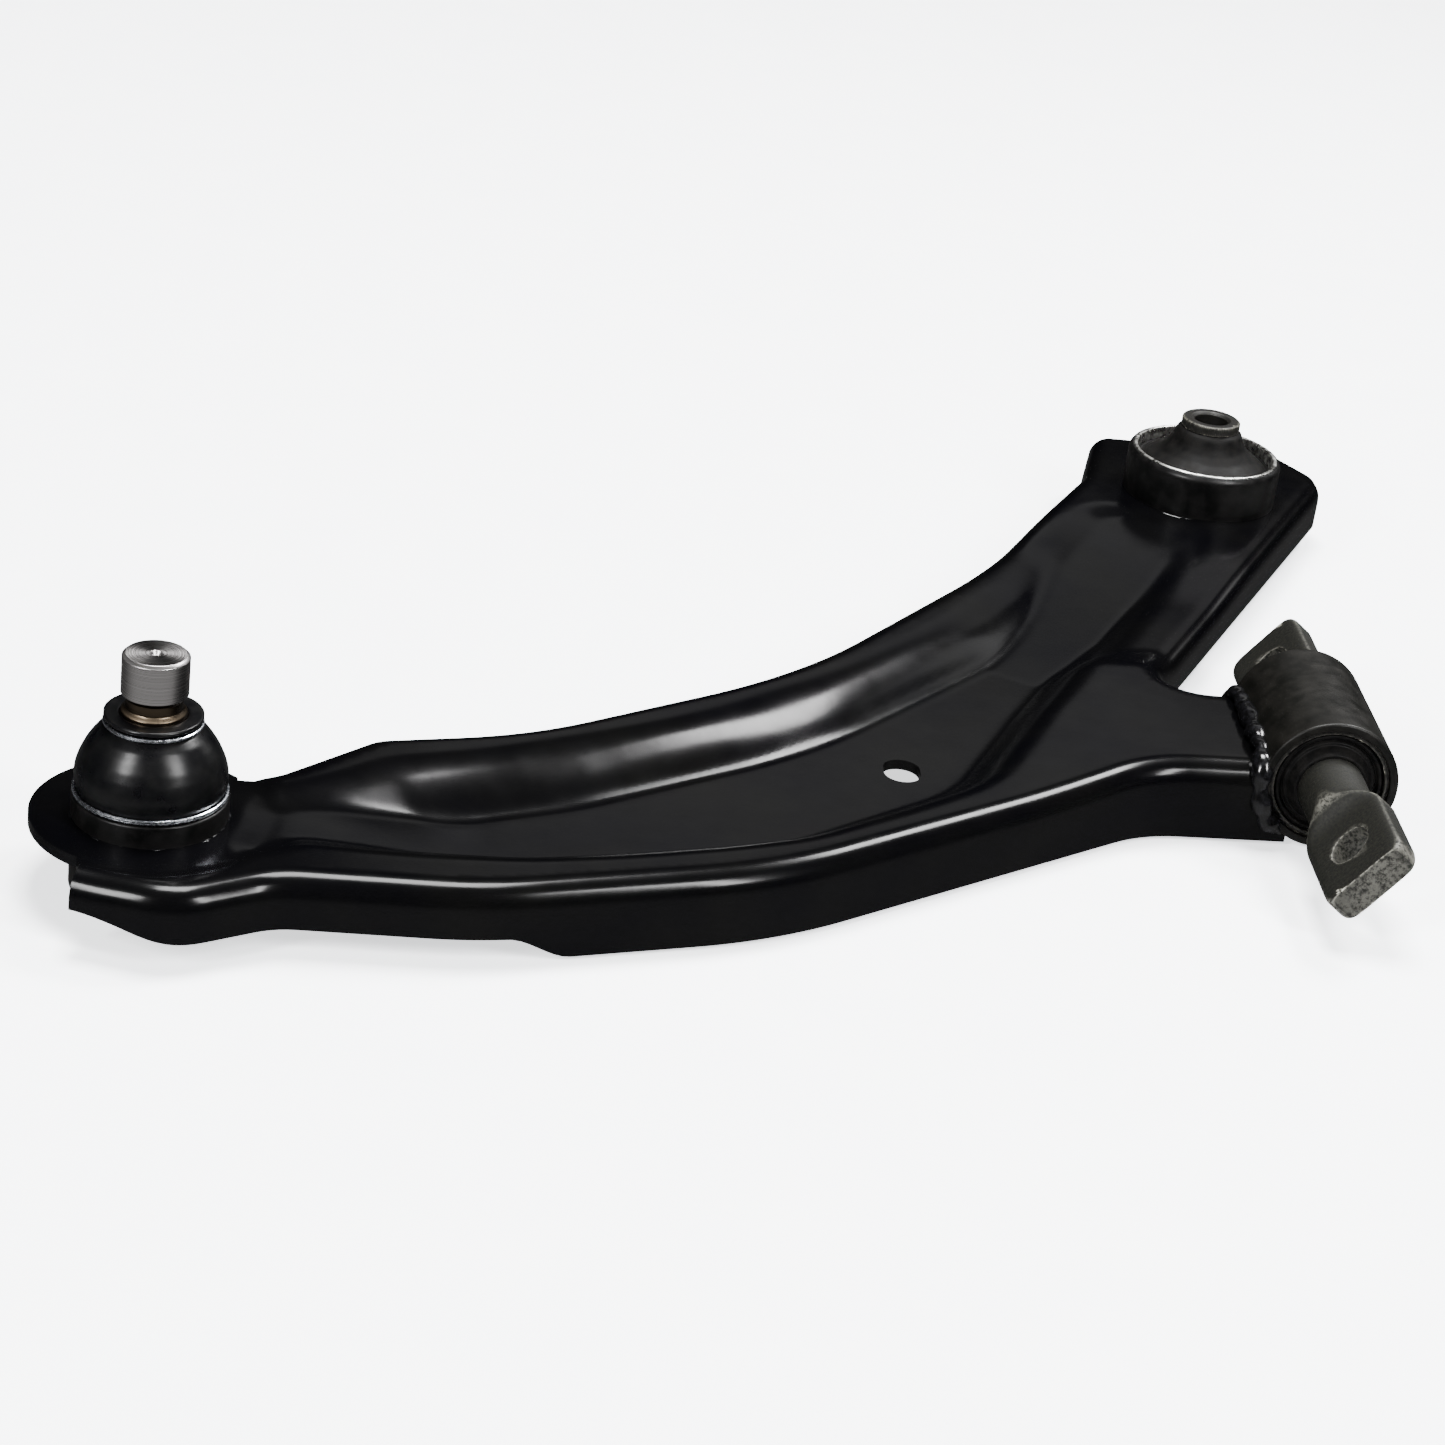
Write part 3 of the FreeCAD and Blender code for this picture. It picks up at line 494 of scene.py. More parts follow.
def weldBead(name, path, size, pitch, closed, lumps=0.16, seed=1):
    # a bead laid in ripples along a path of (place, two directions that span its section)
    verts = []
    faces = []
    sides = 14
    along = 0.0
    rng = np.random.default_rng(seed)
    wave = rng.uniform(0, 6.28, 3)
    for i, (spot, out, up) in enumerate(path):
        if i:
            along += (spot - path[i - 1][0]).length / mm
        ripple = abs(math.sin(math.pi * along / pitch + 0.6 * math.sin(along * 0.21 + wave[0])))
        swell = 1 + lumps * (ripple - 0.5) + 0.07 * math.sin(along * 0.37 + wave[1]) + 0.05 * math.sin(along * 0.83 + wave[2])
        if not closed:
            tip = min(i, len(path) - 1 - i) / 4
            swell *= math.sqrt(min(1, 0.05 + tip)) if tip < 1 else 1
        for k in range(sides):
            angle = 2 * math.pi * k / sides
            verts.append(spot + (out * math.cos(angle) + up * math.sin(angle)) * size * swell * mm)
    rings = len(path)
    for i in range(rings if closed else rings - 1):
        j = (i + 1) % rings
        for k in range(sides):
            m = (k + 1) % sides
            faces.append((i * sides + k, i * sides + m, j * sides + m, j * sides + k))
    if not closed:
        faces += [tuple(range(sides))[::-1], tuple((rings - 1) * sides + k for k in range(sides))]
    mesh = bpy.data.meshes.new(name)
    mesh.from_pydata(verts, [], faces)
    bead = bpy.data.objects.new(name, mesh)
    bpy.context.collection.objects.link(bead)
    editing(bead)
    return done(bead, smooth=60)


def ringPath(centre, radius, height, steps):
    spots = []
    for k in range(steps):
        angle = 2 * math.pi * k / steps
        out = Vector((math.cos(angle), math.sin(angle), 0))
        spots.append((centre + (out * radius + Vector((0, 0, height))) * mm, out, Vector((0, 0, 1))))
    return spots


ballWeld = weldBead("ball_weld_bead", ringPath(ball, 20.9, -4.6, 260), 1.3, b["weldPitch"], True, seed=3)
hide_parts("ball_housing_weld")
print("ball joint made")

rearBush = {"collar": 27.4, "rim": 16.0, "bottom": -20.0, "discTop": 28.5, "bore": 6.1, "teeth": 96, "toothDepth": 0.16}
r = rearBush
collar = turned("rear_collar", [(25.8, -20, .3), (27.4, -20, .5), (27.4, 14.2, 2.6), (26.2, 15.7, .5), (25.8, 15.5)], rear, 160)
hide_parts("rear_bush_housing")
rearSleeve = turned("rear_outer_sleeve", [(24.3, -20, .3), (25.8, -20, .3), (25.8, 16, .45), (24.5, 16, .5), (24.3, 15.2, .2)],
                    rear, 160)
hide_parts("rear_bush_outer_sleeve")
rearWeld = weldBead("rear_weld_bead", ringPath(rear, 27.2, -1.3, 330), 1.0, 5.2, True, lumps=0.1, seed=8)
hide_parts("rear_bush_weld")
rubberTop = turned("rear_rubber_top", [
    (12.5, -1), (24.1, -1), (24.1, 12.2, .8), (22.6, 11.6, 1.2), (20.6, 13.6, 3), (16.5, 16.4, 8), (13.2, 19.6, 8), (11.6, 24, 2),
    (10.2, 25.1, .4), (9.5, 25.1), (9.5, 23.4, .3), (10.9, 21, 1), (12.4, 15, 2)], rear, 144)
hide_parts("rear_bush_rubber")
rubberUnder = turned("rear_rubber_under", [
    (12.5, -1.2), (12.5, -14, 1), (11.9, -16.5, .5), (9.5, -18.1, .2), (9.5, -19, .2), (13.5, -19, 1), (17, -17.4, 3), (21, -15, 2), (24.1, -16, .6),
    (24.1, -1.2)], rear, 144)
innerSleeve = turned("rear_inner_sleeve", [
    (6.1, -23, .5), (9.4, -23, .6), (9.4, 25.3, .3), (10.4, 25.3, .3), (10.4, 28, .45), (9.6, 28.5, .4), (7.1, 28.5, .3),
    (6.1, 27.6, .2)], rear, 2 * r["teeth"])
for vertex in innerSleeve.data.vertices:       # fine upright teeth round the disc
    x, y, z = vertex.co / mm
    radius = math.hypot(x, y)
    tooth = round(math.atan2(y, x) / math.pi * r["teeth"])
    if radius > 10.2 and 25.4 < z < 28.2 and tooth % 2:
        vertex.co.x *= 1 - r["toothDepth"] / radius
        vertex.co.y *= 1 - r["toothDepth"] / radius
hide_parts("rear_bush_inner_sleeve")
print("rear bush made")

frontBush = {"tube": 20.7, "halfLength": 27.0, "barFront": -87.0, "barBack": 70.5, "width": 27.6, "thick": 9.6, "roll": 52.0}
f = frontBush
frontTube = turned("front_tube", [(18.1, -27, .3), (20.7, -27, .9), (20.7, 27, .9), (18.1, 27, .3)], tube, 160, lying=True)
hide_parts("front_bush_tube")
frontSleeve = turned("front_outer_sleeve", [(16.6, -26.1, .5), (18.1, -25.7, .4), (18.1, 25.7, .4), (16.6, 26.1, .5)],
                     tube, 160, lying=True)
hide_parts("front_bush_outer_sleeve")
halfRubber = [(16.6, 23.7, .4), (15.9, 25.1, .5), (15.0, 25.1, .5), (14.6, 23.8, .5), (14.0, 23.8, .4), (13.6, 24.9, .5),
              (12.8, 24.9, .6), (12.2, 26.1, 1), (10.9, 28.3, .6), (10.05, 28.3)]
frontRubber = turned("front_rubber", [(x, -y, *c) for x, y, *c in halfRubber] + [(10.05, 0)]
                     + halfRubber[::-1] + [(16.6, 0)], tube, 144, lying=True)
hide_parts("front_bush_rubber")


def barSection(flatness, grow, sides=72):
    # ring of the bar: round at 0, a soft-cornered flat at 1
    ring = []
    for k in range(sides):
        angle = 2 * math.pi * (k + 0.5) / sides
        c, s = math.cos(angle), math.sin(angle)
        halfWide, halfThick, soft = f["width"] / 2 * grow, f["thick"] / 2, 4.2
        power = 2 / (2 + 5 * flatness)
        wide = 10 + (halfWide - 10) * flatness
        thick = 10 + (halfThick - 10) * flatness
        ring.append((math.copysign(abs(c) ** power, c) * wide, math.copysign(abs(s) ** power, s) * thick))
    return ring


def makeBar():
    stations = []
    def end(sign, tip, start):
        # from the round part out to the end of the flat
        rows = [(start, 0, 1), (start + sign * 2, 0.04, 1), (start + sign * 4, 0.25, 1), (start + sign * 6, 0.62, 1),
                (start + sign * 8, 0.9, 1), (start + sign * 10, 1, 1), (start + sign * 14, 1, 1), (start + sign * 20, 1, 1)]
        for back, grow in ((12, 1), (6, 1), (4.2, 0.995), (2.6, 0.975), (1.3, 0.94), (0.5, 0.9), (0, 0.86)):
            rows.append((tip - sign * back, 1, grow))
        return rows
    stations = end(-1, f["barFront"], -47)[::-1] + [(y, 0, 1) for y in (-42, -30, -15, 0, 12, 24)] + end(1, f["barBack"], 30.5)
    verts = []
    faces = []
    sides = 72
    roll = math.radians(f["roll"])
    for y, flatness, grow in stations:
        for wide, thick in barSection(flatness, grow, sides):
            verts.append(tube + Vector((wide * math.cos(roll) - thick * math.sin(roll), y, wide * math.sin(roll) + thick * math.cos(roll))) * mm)
    for i in range(len(stations) - 1):
        for k in range(sides):
            m = (k + 1) % sides
            faces.append((i * sides + k, i * sides + m, (i + 1) * sides + m, (i + 1) * sides + k))
    last = (len(stations) - 1) * sides
    faces += [tuple(range(sides))[::-1], tuple(last + k for k in range(sides))]
    mesh = bpy.data.meshes.new("front_bar")
    mesh.from_pydata(verts, [], faces)
    bar = bpy.data.objects.new("front_bar", mesh)
    bpy.context.collection.objects.link(bar)
    editing(bar)
    done(bar)
    for y in (f["barFront"] + 17.3, f["barBack"] - 17.3):
        bpy.ops.object.select_all(action="DESELECT")
        bpy.ops.mesh.primitive_cylinder_add(vertices=64, radius=6.5 * mm, depth=0.05, location=tube + Vector((0, y, 0)) * mm,
                                            rotation=(0, -roll, 0))
        drill = bpy.context.object
        applied(bar, "BOOLEAN", object=drill, operation="DIFFERENCE", solver="EXACT")
        bpy.data.objects.remove(drill)
    applied(bar, "BEVEL", width=0.7 * mm, segments=3, limit_method="ANGLE", angle_limit=math.radians(40))
    editing(bar)
    return done(bar, smooth=40)


bar = makeBar()
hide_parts("front_bush_bar")


def legWeldPath():
    # round the end of the leg where it meets the tube
    corners = [(-225.8, -20.5, 0), (-225.8, 3.0, 8), (-173, 3.0, 8), (-173, -20.5, 0)]
    run = roundedRun(corners, 0.9, closed=False)
    path = []
    for p in run:
        depth = 20.9 ** 2 - (p.y - tube.z / mm) ** 2
        spot = Vector((tube.x / mm - math.sqrt(max(depth, 60)), p.x, p.y)) * mm
        radial = (spot - Vector((tube.x, spot.y, tube.z))).normalized()
        outward = Vector((0, p.x + 199.5, p.y + 12)).normalized()
        path.append((spot, radial, (outward - radial * outward.dot(radial)).normalized()))
    return path


legWeld = weldBead("leg_weld_bead", legWeldPath(), 3.0, 9.5, False, lumps=0.34, seed=5)
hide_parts("front_bush_weld_front", "front_bush_weld_rear", "front_bush_weld_top")
print("front bush made")

for piece in (housing, cap, ringLower, ballWeld, collar, rearSleeve, rearWeld, frontTube, frontSleeve, frontRubber, legWeld):
    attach(piece, "arm")
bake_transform(bootFoot)
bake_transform(bootNeck)
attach(ringUpper, "stud_collar")
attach(stud, "stud")
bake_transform(rubberTop)
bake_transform(rubberUnder)
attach(innerSleeve, "rear_sleeve")
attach(bar, "front_bar")


def node(tree, kind, feeds, out=0, **settings):
    # a node with its settings; feeds are values or other nodes' outputs for its inputs; gives back one output
    made = tree.nodes.new(kind)
    for key, value in settings.items():
        setattr(made, key, value)
    for key, value in feeds.items():
        if isinstance(value, bpy.types.NodeSocket):
            tree.links.new(value, made.inputs[key])
        else:
            made.inputs[key].default_value = value
    return made.outputs[out]


def finish(name, **constants):
    # a new material with the numbers that are the same all over it, its tree, its shader and object coordinates
    material = bpy.data.materials.new(name)
    material.use_nodes = True
    tree = material.node_tree
    main = tree.nodes["Principled BSDF"]
    for key, value in constants.items():
        main.inputs[key.replace("_", " ")].default_value = value
    return material, tree, main, node(tree, "ShaderNodeTexCoord", {}, "Object")


def perMm(size):
    return 1 / (size * mm)     # noise scale for features of this size in mm


def wire(tree, main, **sources):
    for key, source in sources.items():
        tree.links.new(source, main.inputs[key.replace("_", " ")])


def blackElectrocoat():
    # dip-painted pressed steel: deep black and semi-gloss, with faint orange peel and settled dust
    m, t, main, place = finish("black_electrocoat", Specular_IOR_Level=0.09)
    grit = node(t, "ShaderNodeTexNoise", {"Vector": place, "Scale": perMm(0.55), "Detail": 3, "Roughness": 0.7})
    dust = node(t, "ShaderNodeMapRange", {0: grit, 1: 0.62, 2: 0.8, 4: 0.12})
    cloud = node(t, "ShaderNodeTexNoise", {"Vector": place, "Scale": perMm(38), "Detail": 3})
    tone = node(t, "ShaderNodeMapRange", {0: cloud, 1: 0.35, 2: 0.7})
    coat = node(t, "ShaderNodeMix", {0: tone, 6: linear("020203"), 7: linear("040404")}, 2, data_type="RGBA")
    dusty = node(t, "ShaderNodeMix", {0: dust, 6: coat, 7: linear("1f1e1c")}, 2, data_type="RGBA")
    flow = node(t, "ShaderNodeTexNoise", {"Vector": place, "Scale": perMm(9), "Detail": 3})
    gloss = node(t, "ShaderNodeMapRange", {0: flow, 1: 0.3, 2: 0.7, 3: 0.16, 4: 0.2})
    peel = node(t, "ShaderNodeTexNoise", {"Vector": place, "Scale": perMm(2.6), "Detail": 1})
    broad = node(t, "ShaderNodeBump", {"Height": peel, "Strength": 0.35, "Distance": 0.02 * mm})
    fine = node(t, "ShaderNodeBump", {"Height": grit, "Strength": 0.25, "Distance": 0.01 * mm, "Normal": broad})
    wire(t, main, Base_Color=dusty, Roughness=gloss, Normal=fine)
    return m


def satinBlack():
    # thinner satin paint over a turned or drawn steel wall, so the metal's grain shows through
    m, t, main, place = finish("satin_black_paint", Specular_IOR_Level=0.14)
    grain = node(t, "ShaderNodeTexNoise", {"Vector": place, "Scale": perMm(5), "Detail": 4})
    tone = node(t, "ShaderNodeMapRange", {0: grain, 1: 0.35, 2: 0.7})
    coat = node(t, "ShaderNodeMix", {0: tone, 6: linear("040404"), 7: linear("0b0a0a")}, 2, data_type="RGBA")
    gloss = node(t, "ShaderNodeMapRange", {0: grain, 1: 0.3, 2: 0.7, 3: 0.3, 4: 0.46})
    grit = node(t, "ShaderNodeTexNoise", {"Vector": place, "Scale": perMm(0.7), "Detail": 3})
    rough = node(t, "ShaderNodeBump", {"Height": grit, "Strength": 0.4, "Distance": 0.03 * mm})
    wire(t, main, Base_Color=coat, Roughness=gloss, Normal=rough)
    return m


def pooledPaint():
    # paint pooled over a welded bead: smooth and glossy, so each lump carries its own glint
    m, t, main, place = finish("painted_weld", Specular_IOR_Level=0.3)
    pool = node(t, "ShaderNodeTexNoise", {"Vector": place, "Scale": perMm(2), "Detail": 3})
    tone = node(t, "ShaderNodeMapRange", {0: pool, 1: 0.4, 2: 0.7})
    coat = node(t, "ShaderNodeMix", {0: tone, 6: linear("040404"), 7: linear("0c0c0e")}, 2, data_type="RGBA")
    gloss = node(t, "ShaderNodeMapRange", {0: pool, 1: 0.3, 2: 0.7, 3: 0.1, 4: 0.24})
    spatter = node(t, "ShaderNodeTexNoise", {"Vector": place, "Scale": perMm(0.9), "Detail": 3})
    lumps = node(t, "ShaderNodeBump", {"Height": spatter, "Strength": 0.3, "Distance": 0.1 * mm})
    wire(t, main, Base_Color=coat, Roughness=gloss, Normal=lumps)
    return m


def oliveTube():
    # thin dull coat over drawn steel tube: olive-black with a broad soft sheen
    m, t, main, place = finish("olive_black_tube", Specular_IOR_Level=0.12)
    grain = node(t, "ShaderNodeTexNoise", {"Vector": place, "Scale": perMm(6), "Detail": 4})
    tone = node(t, "ShaderNodeMapRange", {0: grain, 1: 0.35, 2: 0.7})
    coat = node(t, "ShaderNodeMix", {0: tone, 6: linear("060605"), 7: linear("0d0c0a")}, 2, data_type="RGBA")
    gloss = node(t, "ShaderNodeMapRange", {0: grain, 1: 0.3, 2: 0.7, 3: 0.34, 4: 0.48})
    grit = node(t, "ShaderNodeTexNoise", {"Vector": place, "Scale": perMm(0.6), "Detail": 3})
    rough = node(t, "ShaderNodeBump", {"Height": grit, "Strength": 0.4, "Distance": 0.03 * mm})
    wire(t, main, Base_Color=coat, Roughness=gloss, Normal=rough)
    return m


def turnedSteel():
    # bare carbon steel off the lathe: fine rings round the axis, so light fans out over the end face
    m, t, main, place = finish("turned_steel", Metallic=1.0, Anisotropic=0.75, Roughness=0.3)
    centred = node(t, "ShaderNodeMapping", {"Vector": place, "Location": (-ball.x, -ball.y, 0)})
    high = node(t, "ShaderNodeSeparateXYZ", {0: centred}, "Z")
    across = node(t, "ShaderNodeVectorMath", {0: centred, 1: (1, 1, 0)}, operation="MULTIPLY")
    radius = node(t, "ShaderNodeVectorMath", {0: across}, "Value", operation="LENGTH")
    along = node(t, "ShaderNodeMath", {0: radius, 1: high}, operation="ADD")
    line = node(t, "ShaderNodeCombineXYZ", {"X": along})
    # feed marks are drawn 0.3 mm apart, coarser than the real ones, so that they show
    rings = node(t, "ShaderNodeTexNoise", {"Vector": line, "Scale": perMm(0.3), "Detail": 3, "Roughness": 0.7})
    bright = node(t, "ShaderNodeMapRange", {0: rings, 1: 0.3, 2: 0.7})
    bare = node(t, "ShaderNodeMix", {0: bright, 6: linear("5c5a5a"), 7: linear("aeabaa")}, 2, data_type="RGBA")
    aboveGroove = node(t, "ShaderNodeMapRange", {0: high, 1: 0.0318, 2: 0.0325})
    steel = node(t, "ShaderNodeMix", {0: aboveGroove, 6: linear("40382e"), 7: bare}, 2, data_type="RGBA")
    gloss = node(t, "ShaderNodeMapRange", {0: rings, 1: 0.3, 2: 0.7, 3: 0.2, 4: 0.38})
    round_ = node(t, "ShaderNodeVectorMath", {0: (0, 0, 1), 1: across}, operation="CROSS_PRODUCT")
    tangent = node(t, "ShaderNodeVectorMath", {0: round_}, operation="NORMALIZE")
    marks = node(t, "ShaderNodeBump", {"Height": rings, "Strength": 0.5, "Distance": 0.02 * mm})
    wire(t, main, Base_Color=steel, Roughness=gloss, Tangent=tangent, Normal=marks)
    return m


def bootRubber():
    # moulded chloroprene: satin black with a slight bloom, soft streaks of light down its sides
    m, t, main, place = finish("boot_rubber", Specular_IOR_Level=0.16)
    bloom = node(t, "ShaderNodeTexNoise", {"Vector": place, "Scale": perMm(6), "Detail": 3})
    tone = node(t, "ShaderNodeMapRange", {0: bloom, 1: 0.35, 2: 0.7})
    rubber = node(t, "ShaderNodeMix", {0: tone, 6: linear("030304"), 7: linear("070707")}, 2, data_type="RGBA")
    gloss = node(t, "ShaderNodeMapRange", {0: bloom, 1: 0.3, 2: 0.7, 3: 0.26, 4: 0.34})
    skin = node(t, "ShaderNodeTexNoise", {"Vector": place, "Scale": perMm(0.35), "Detail": 2})
    rough = node(t, "ShaderNodeBump", {"Height": skin, "Strength": 0.3, "Distance": 0.01 * mm})
    wire(t, main, Base_Color=rubber, Roughness=gloss, Normal=rough)
    return m


def zincWire():
    # bright zinc-plated spring wire: near white, with faint drawing lines
    m, t, main, place = finish("zinc_wire", Metallic=1.0)
    drawn = node(t, "ShaderNodeMapping", {"Vector": place, "Scale": (1, 1, 7)})
    streak = node(t, "ShaderNodeTexNoise", {"Vector": drawn, "Scale": perMm(1.2), "Detail": 3})
    tone = node(t, "ShaderNodeMapRange", {0: streak, 1: 0.3, 2: 0.7})
    zinc = node(t, "ShaderNodeMix", {0: tone, 6: linear("c3cad6"), 7: linear("f2f5fa")}, 2, data_type="RGBA")
    gloss = node(t, "ShaderNodeMapRange", {0: streak, 1: 0.3, 2: 0.7, 3: 0.18, 4: 0.32})
    lines = node(t, "ShaderNodeBump", {"Height": streak, "Strength": 0.1, "Distance": 0.01 * mm})
    wire(t, main, Base_Color=zinc, Roughness=gloss, Normal=lines)
    return m


def drawnSteel():
    # drawn sleeve whose rim is rubbed bare and bright
    m, t, main, place = finish("drawn_steel", Metallic=1.0)
    rubbed = node(t, "ShaderNodeTexNoise", {"Vector": place, "Scale": perMm(2.2), "Detail": 4})
    tone = node(t, "ShaderNodeMapRange", {0: rubbed, 1: 0.35, 2: 0.65})
    steel = node(t, "ShaderNodeMix", {0: tone, 6: linear("8b8a86"), 7: linear("dcdcd8")}, 2, data_type="RGBA")
    gloss = node(t, "ShaderNodeMapRange", {0: rubbed, 1: 0.3, 2: 0.7, 3: 0.22, 4: 0.4})
    grain = node(t, "ShaderNodeTexNoise", {"Vector": place, "Scale": perMm(0.5), "Detail": 3})
    rough = node(t, "ShaderNodeBump", {"Height": grain, "Strength": 0.4, "Distance": 0.02 * mm})
    wire(t, main, Base_Color=steel, Roughness=gloss, Normal=rough)
    return m


def bushRubber():
    # moulded natural rubber: matt, a little dusty in its folds
    m, t, main, place = finish("bush_rubber", Specular_IOR_Level=0.06, Sheen_Weight=0.003, Sheen_Roughness=0.5)
    dusty = node(t, "ShaderNodeTexNoise", {"Vector": place, "Scale": perMm(3), "Detail": 4})
    tone = node(t, "ShaderNodeMapRange", {0: dusty, 1: 0.35, 2: 0.7})
    rubber = node(t, "ShaderNodeMix", {0: tone, 6: linear("040404"), 7: linear("0b0a09")}, 2, data_type="RGBA")
    gloss = node(t, "ShaderNodeMapRange", {0: dusty, 1: 0.3, 2: 0.7, 3: 0.46, 4: 0.64})
    skin = node(t, "ShaderNodeTexNoise", {"Vector": place, "Scale": perMm(0.5), "Detail": 3})
    rough = node(t, "ShaderNodeBump", {"Height": skin, "Strength": 0.5, "Distance": 0.04 * mm})
    wire(t, main, Base_Color=rubber, Roughness=gloss, Normal=rough)
    return m


def phosphate(name, dark, light, worn, gloss):
    # phosphated steel: rough dark grey crystals, rubbed lighter along its edges
    m, t, main, place = finish(name, Metallic=0.12, Specular_IOR_Level=0.16)
    crystal = node(t, "ShaderNodeTexNoise", {"Vector": place, "Scale": perMm(0.9), "Detail": 5, "Roughness": 0.7})
    fleck = node(t, "ShaderNodeMapRange", {0: crystal, 1: 0.35, 2: 0.7})
    grey = node(t, "ShaderNodeMix", {0: fleck, 6: linear(dark), 7: linear(light)}, 2, data_type="RGBA")
    edge = node(t, "ShaderNodeMapRange", {0: node(t, "ShaderNodeNewGeometry", {}, "Pointiness"), 1: 0.51, 2: 0.58})
    patchy = node(t, "ShaderNodeTexNoise", {"Vector": place, "Scale": perMm(1.1), "Detail": 4, "Roughness": 0.7})
    broken = node(t, "ShaderNodeMapRange", {0: patchy, 1: 0.4, 2: 0.55})
    rub = node(t, "ShaderNodeMath", {0: edge, 1: broken}, operation="MULTIPLY")
    rubbed = node(t, "ShaderNodeMix", {0: rub, 6: grey, 7: linear(worn)}, 2, data_type="RGBA")
    rough = node(t, "ShaderNodeMapRange", {0: fleck, 3: gloss + 0.12, 4: gloss - 0.08})
    grit = node(t, "ShaderNodeBump", {"Height": crystal, "Strength": 0.6, "Distance": 0.1 * mm})
    wire(t, main, Base_Color=rubbed, Roughness=rough, Normal=grit)
    return m


def moulding(name, hexText, gloss):
    # acetal or ring rubber inside the joint: smooth, with a faint flow grain
    m, t, main, place = finish(name)
    flow = node(t, "ShaderNodeTexNoise", {"Vector": place, "Scale": perMm(4), "Detail": 2})
    tone = node(t, "ShaderNodeMapRange", {0: flow, 1: 0.3, 2: 0.7, 4: 0.25})
    colour = node(t, "ShaderNodeMix", {0: tone, 6: linear(hexText), 7: linear("808080")}, 2, data_type="RGBA")
    rough = node(t, "ShaderNodeMapRange", {0: flow, 1: 0.3, 2: 0.7, 3: gloss, 4: gloss + 0.1})
    grain = node(t, "ShaderNodeBump", {"Height": flow, "Strength": 0.3, "Distance": 0.02 * mm})
    wire(t, main, Base_Color=colour, Roughness=rough, Normal=grain)
    return m


def paint(material, slotName, *pieces):
    for piece in pieces:
        piece.data.materials.clear()
        piece.data.materials.append(material)


paint(blackElectrocoat(), "arm_paint", arm)
paint(satinBlack(), "housing_paint", housing, cap, collar)
paint(pooledPaint(), "weld_paint", ballWeld, rearWeld, legWeld)
paint(oliveTube(), "tube_paint", frontTube)
paint(turnedSteel(), "turned_steel", stud)
paint(bootRubber(), "boot_rubber", bootFoot, bootNeck)
paint(zincWire(), "ring_wire", ringUpper, ringLower)
paint(drawnSteel(), "sleeve_steel", rearSleeve)
paint(phosphate("phosphated_sleeve", "080808", "151411", "7a786e", 0.42), "inner_sleeve_steel", innerSleeve)
paint(phosphate("dull_sleeve", "070707", "121110", "6a685f", 0.4), "sleeve_steel", frontSleeve)
paint(bushRubber(), "bush_rubber", rubberTop, rubberUnder, frontRubber)
paint(phosphate("phosphated_forging", "0a0a09", "191915", "96948a", 0.5), "phosphated_steel", bar)
paint(moulding("acetal", "d8d2c0", 0.35), "bearing_plastic", nodes["ball_seat"])
paint(moulding("ring_rubber", "141414", 0.55), "preload_rubber", nodes["ball_preload_ring"])
print("materials made")

studio = {
    "dome": 0.15,                      # light from straight above
    "glow": 0.7,                       # light from low in front, as off the near half of a table
    "overLeft": 140.0, "overRight": 80.0, "lowBack": 2.0,
    "left": 48.0, "right": 42.0, "side": 4.0,
    "paper": 1.5,                      # the floor's own light
}
bpy.ops.object.select_all(action="DESELECT")
bpy.ops.mesh.primitive_plane_add(size=80, location=(0, 0, floorZ))
floor = fresh(bpy.context.object, "floor")
floor.visible_glossy = False           # the paper is kept out of the paint's reflections
floor.visible_shadow = False           # so that the bare steel still sees the low light
m, t, main, place = finish("seamless_paper", Specular_IOR_Level=0.2, Emission_Strength=studio["paper"])
pulp = node(t, "ShaderNodeTexNoise", {"Vector": place, "Scale": perMm(30), "Detail": 3})
tone = node(t, "ShaderNodeMapRange", {0: pulp, 1: 0.3, 2: 0.7, 4: 0.3})
paper = node(t, "ShaderNodeMix", {0: tone, 6: linear("f6f8fb"), 7: linear("ffffff")}, 2, data_type="RGBA")
tooth = node(t, "ShaderNodeMapRange", {0: pulp, 1: 0.3, 2: 0.7, 3: 0.85, 4: 0.95})
wire(t, main, Base_Color=paper, Emission_Color=paper, Roughness=tooth)
floor.data.materials.append(m)


def softLight(name, where, size, energy, aim=(-0.15, -0.15, 0)):
    lamp = bpy.data.lights.new(name, "AREA")
    lamp.shape = "RECTANGLE"
    lamp.size, lamp.size_y = size
    lamp.energy = energy
    holder = bpy.data.objects.new(name, lamp)
    bpy.context.collection.objects.link(holder)
    facing = (Vector(where) - Vector(aim)).to_track_quat("Z", "Y").to_matrix().to_4x4()
    holder.matrix_world = Matrix.Translation(where) @ facing


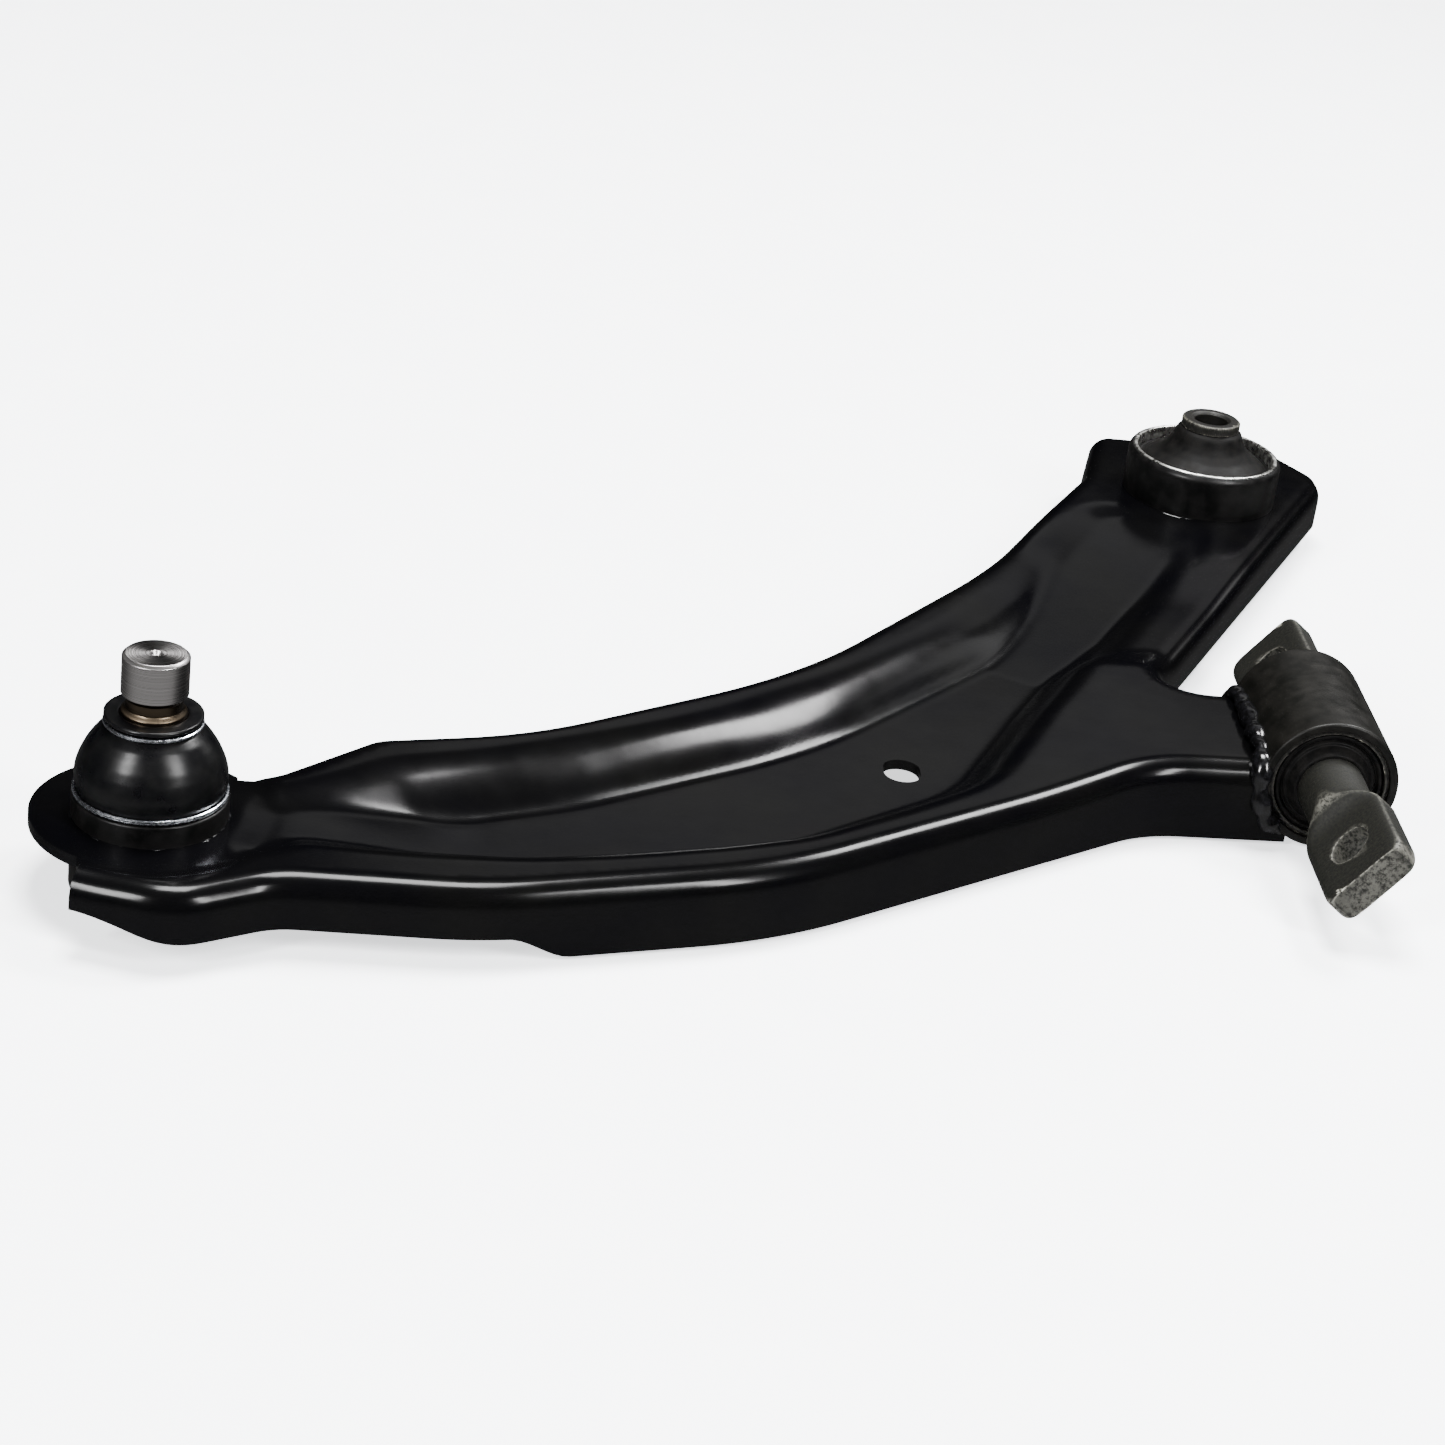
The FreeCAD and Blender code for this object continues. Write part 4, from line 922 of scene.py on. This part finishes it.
softLight("over_left", (-0.24, 0.12, 1.95), (0.75, 0.7), studio["overLeft"], aim=(-0.3, -0.3, 0))
softLight("over_right", (0.88, 0.55, 1.54), (0.55, 0.45), studio["overRight"], aim=(-0.12, -0.25, 0))
softLight("low_back", (0.5, 1.9, 1.2), (1.8, 0.5), studio["lowBack"])
softLight("left_box", (-1.2, -1.3, 0.95), (0.2, 0.6), studio["left"], aim=(-0.33, -0.3, 0))
softLight("right_box", (0.7, -1.1, 0.95), (0.2, 0.6), studio["right"], aim=(-0.33, -0.3, 0))
softLight("side_box", (1.6, 1.0, 0.9), (0.5, 0.9), studio["side"])

camera = bpy.data.cameras.new("camera")
cameraObject = bpy.data.objects.new("camera", camera)
bpy.context.collection.objects.link(cameraObject)
camera.sensor_width = 36
camera.lens = 79.72
camera.clip_start = 0.01
camera.clip_end = 50
cameraObject.matrix_world = (
    Matrix.Translation((-0.2553, -1.0698, 0.4068)) @ Matrix.Rotation(math.radians(-5.07), 4, "Z")
    @ Matrix.Rotation(math.radians(64.34), 4, "X") @ Matrix.Rotation(math.radians(7.31), 4, "Z"))
bpy.context.scene.camera = cameraObject

world = bpy.data.worlds.new("studio")
bpy.context.scene.world = world
world.use_nodes = True
sky = world.node_tree
direction = node(sky, "ShaderNodeTexCoord", {}, "Generated")
height = node(sky, "ShaderNodeSeparateXYZ", {0: direction}, "Z")
depth = node(sky, "ShaderNodeSeparateXYZ", {0: direction}, "Y")
above = node(sky, "ShaderNodeMapRange", {0: height, 1: 0.7, 2: 0.92, 3: 0.001, 4: studio["dome"]})
below = node(sky, "ShaderNodeMapRange", {0: height, 1: -0.05, 2: -0.3, 4: studio["glow"]})
nearSide = node(sky, "ShaderNodeMapRange", {0: depth, 1: 0.3, 2: -0.4, 3: 0.15})
table = node(sky, "ShaderNodeMath", {0: below, 1: nearSide}, operation="MULTIPLY")
strength = node(sky, "ShaderNodeMath", {0: above, 1: table}, operation="ADD")
sky.nodes["Background"].inputs["Color"].default_value = (1, 1, 1, 1)
sky.links.new(strength, sky.nodes["Background"].inputs["Strength"])
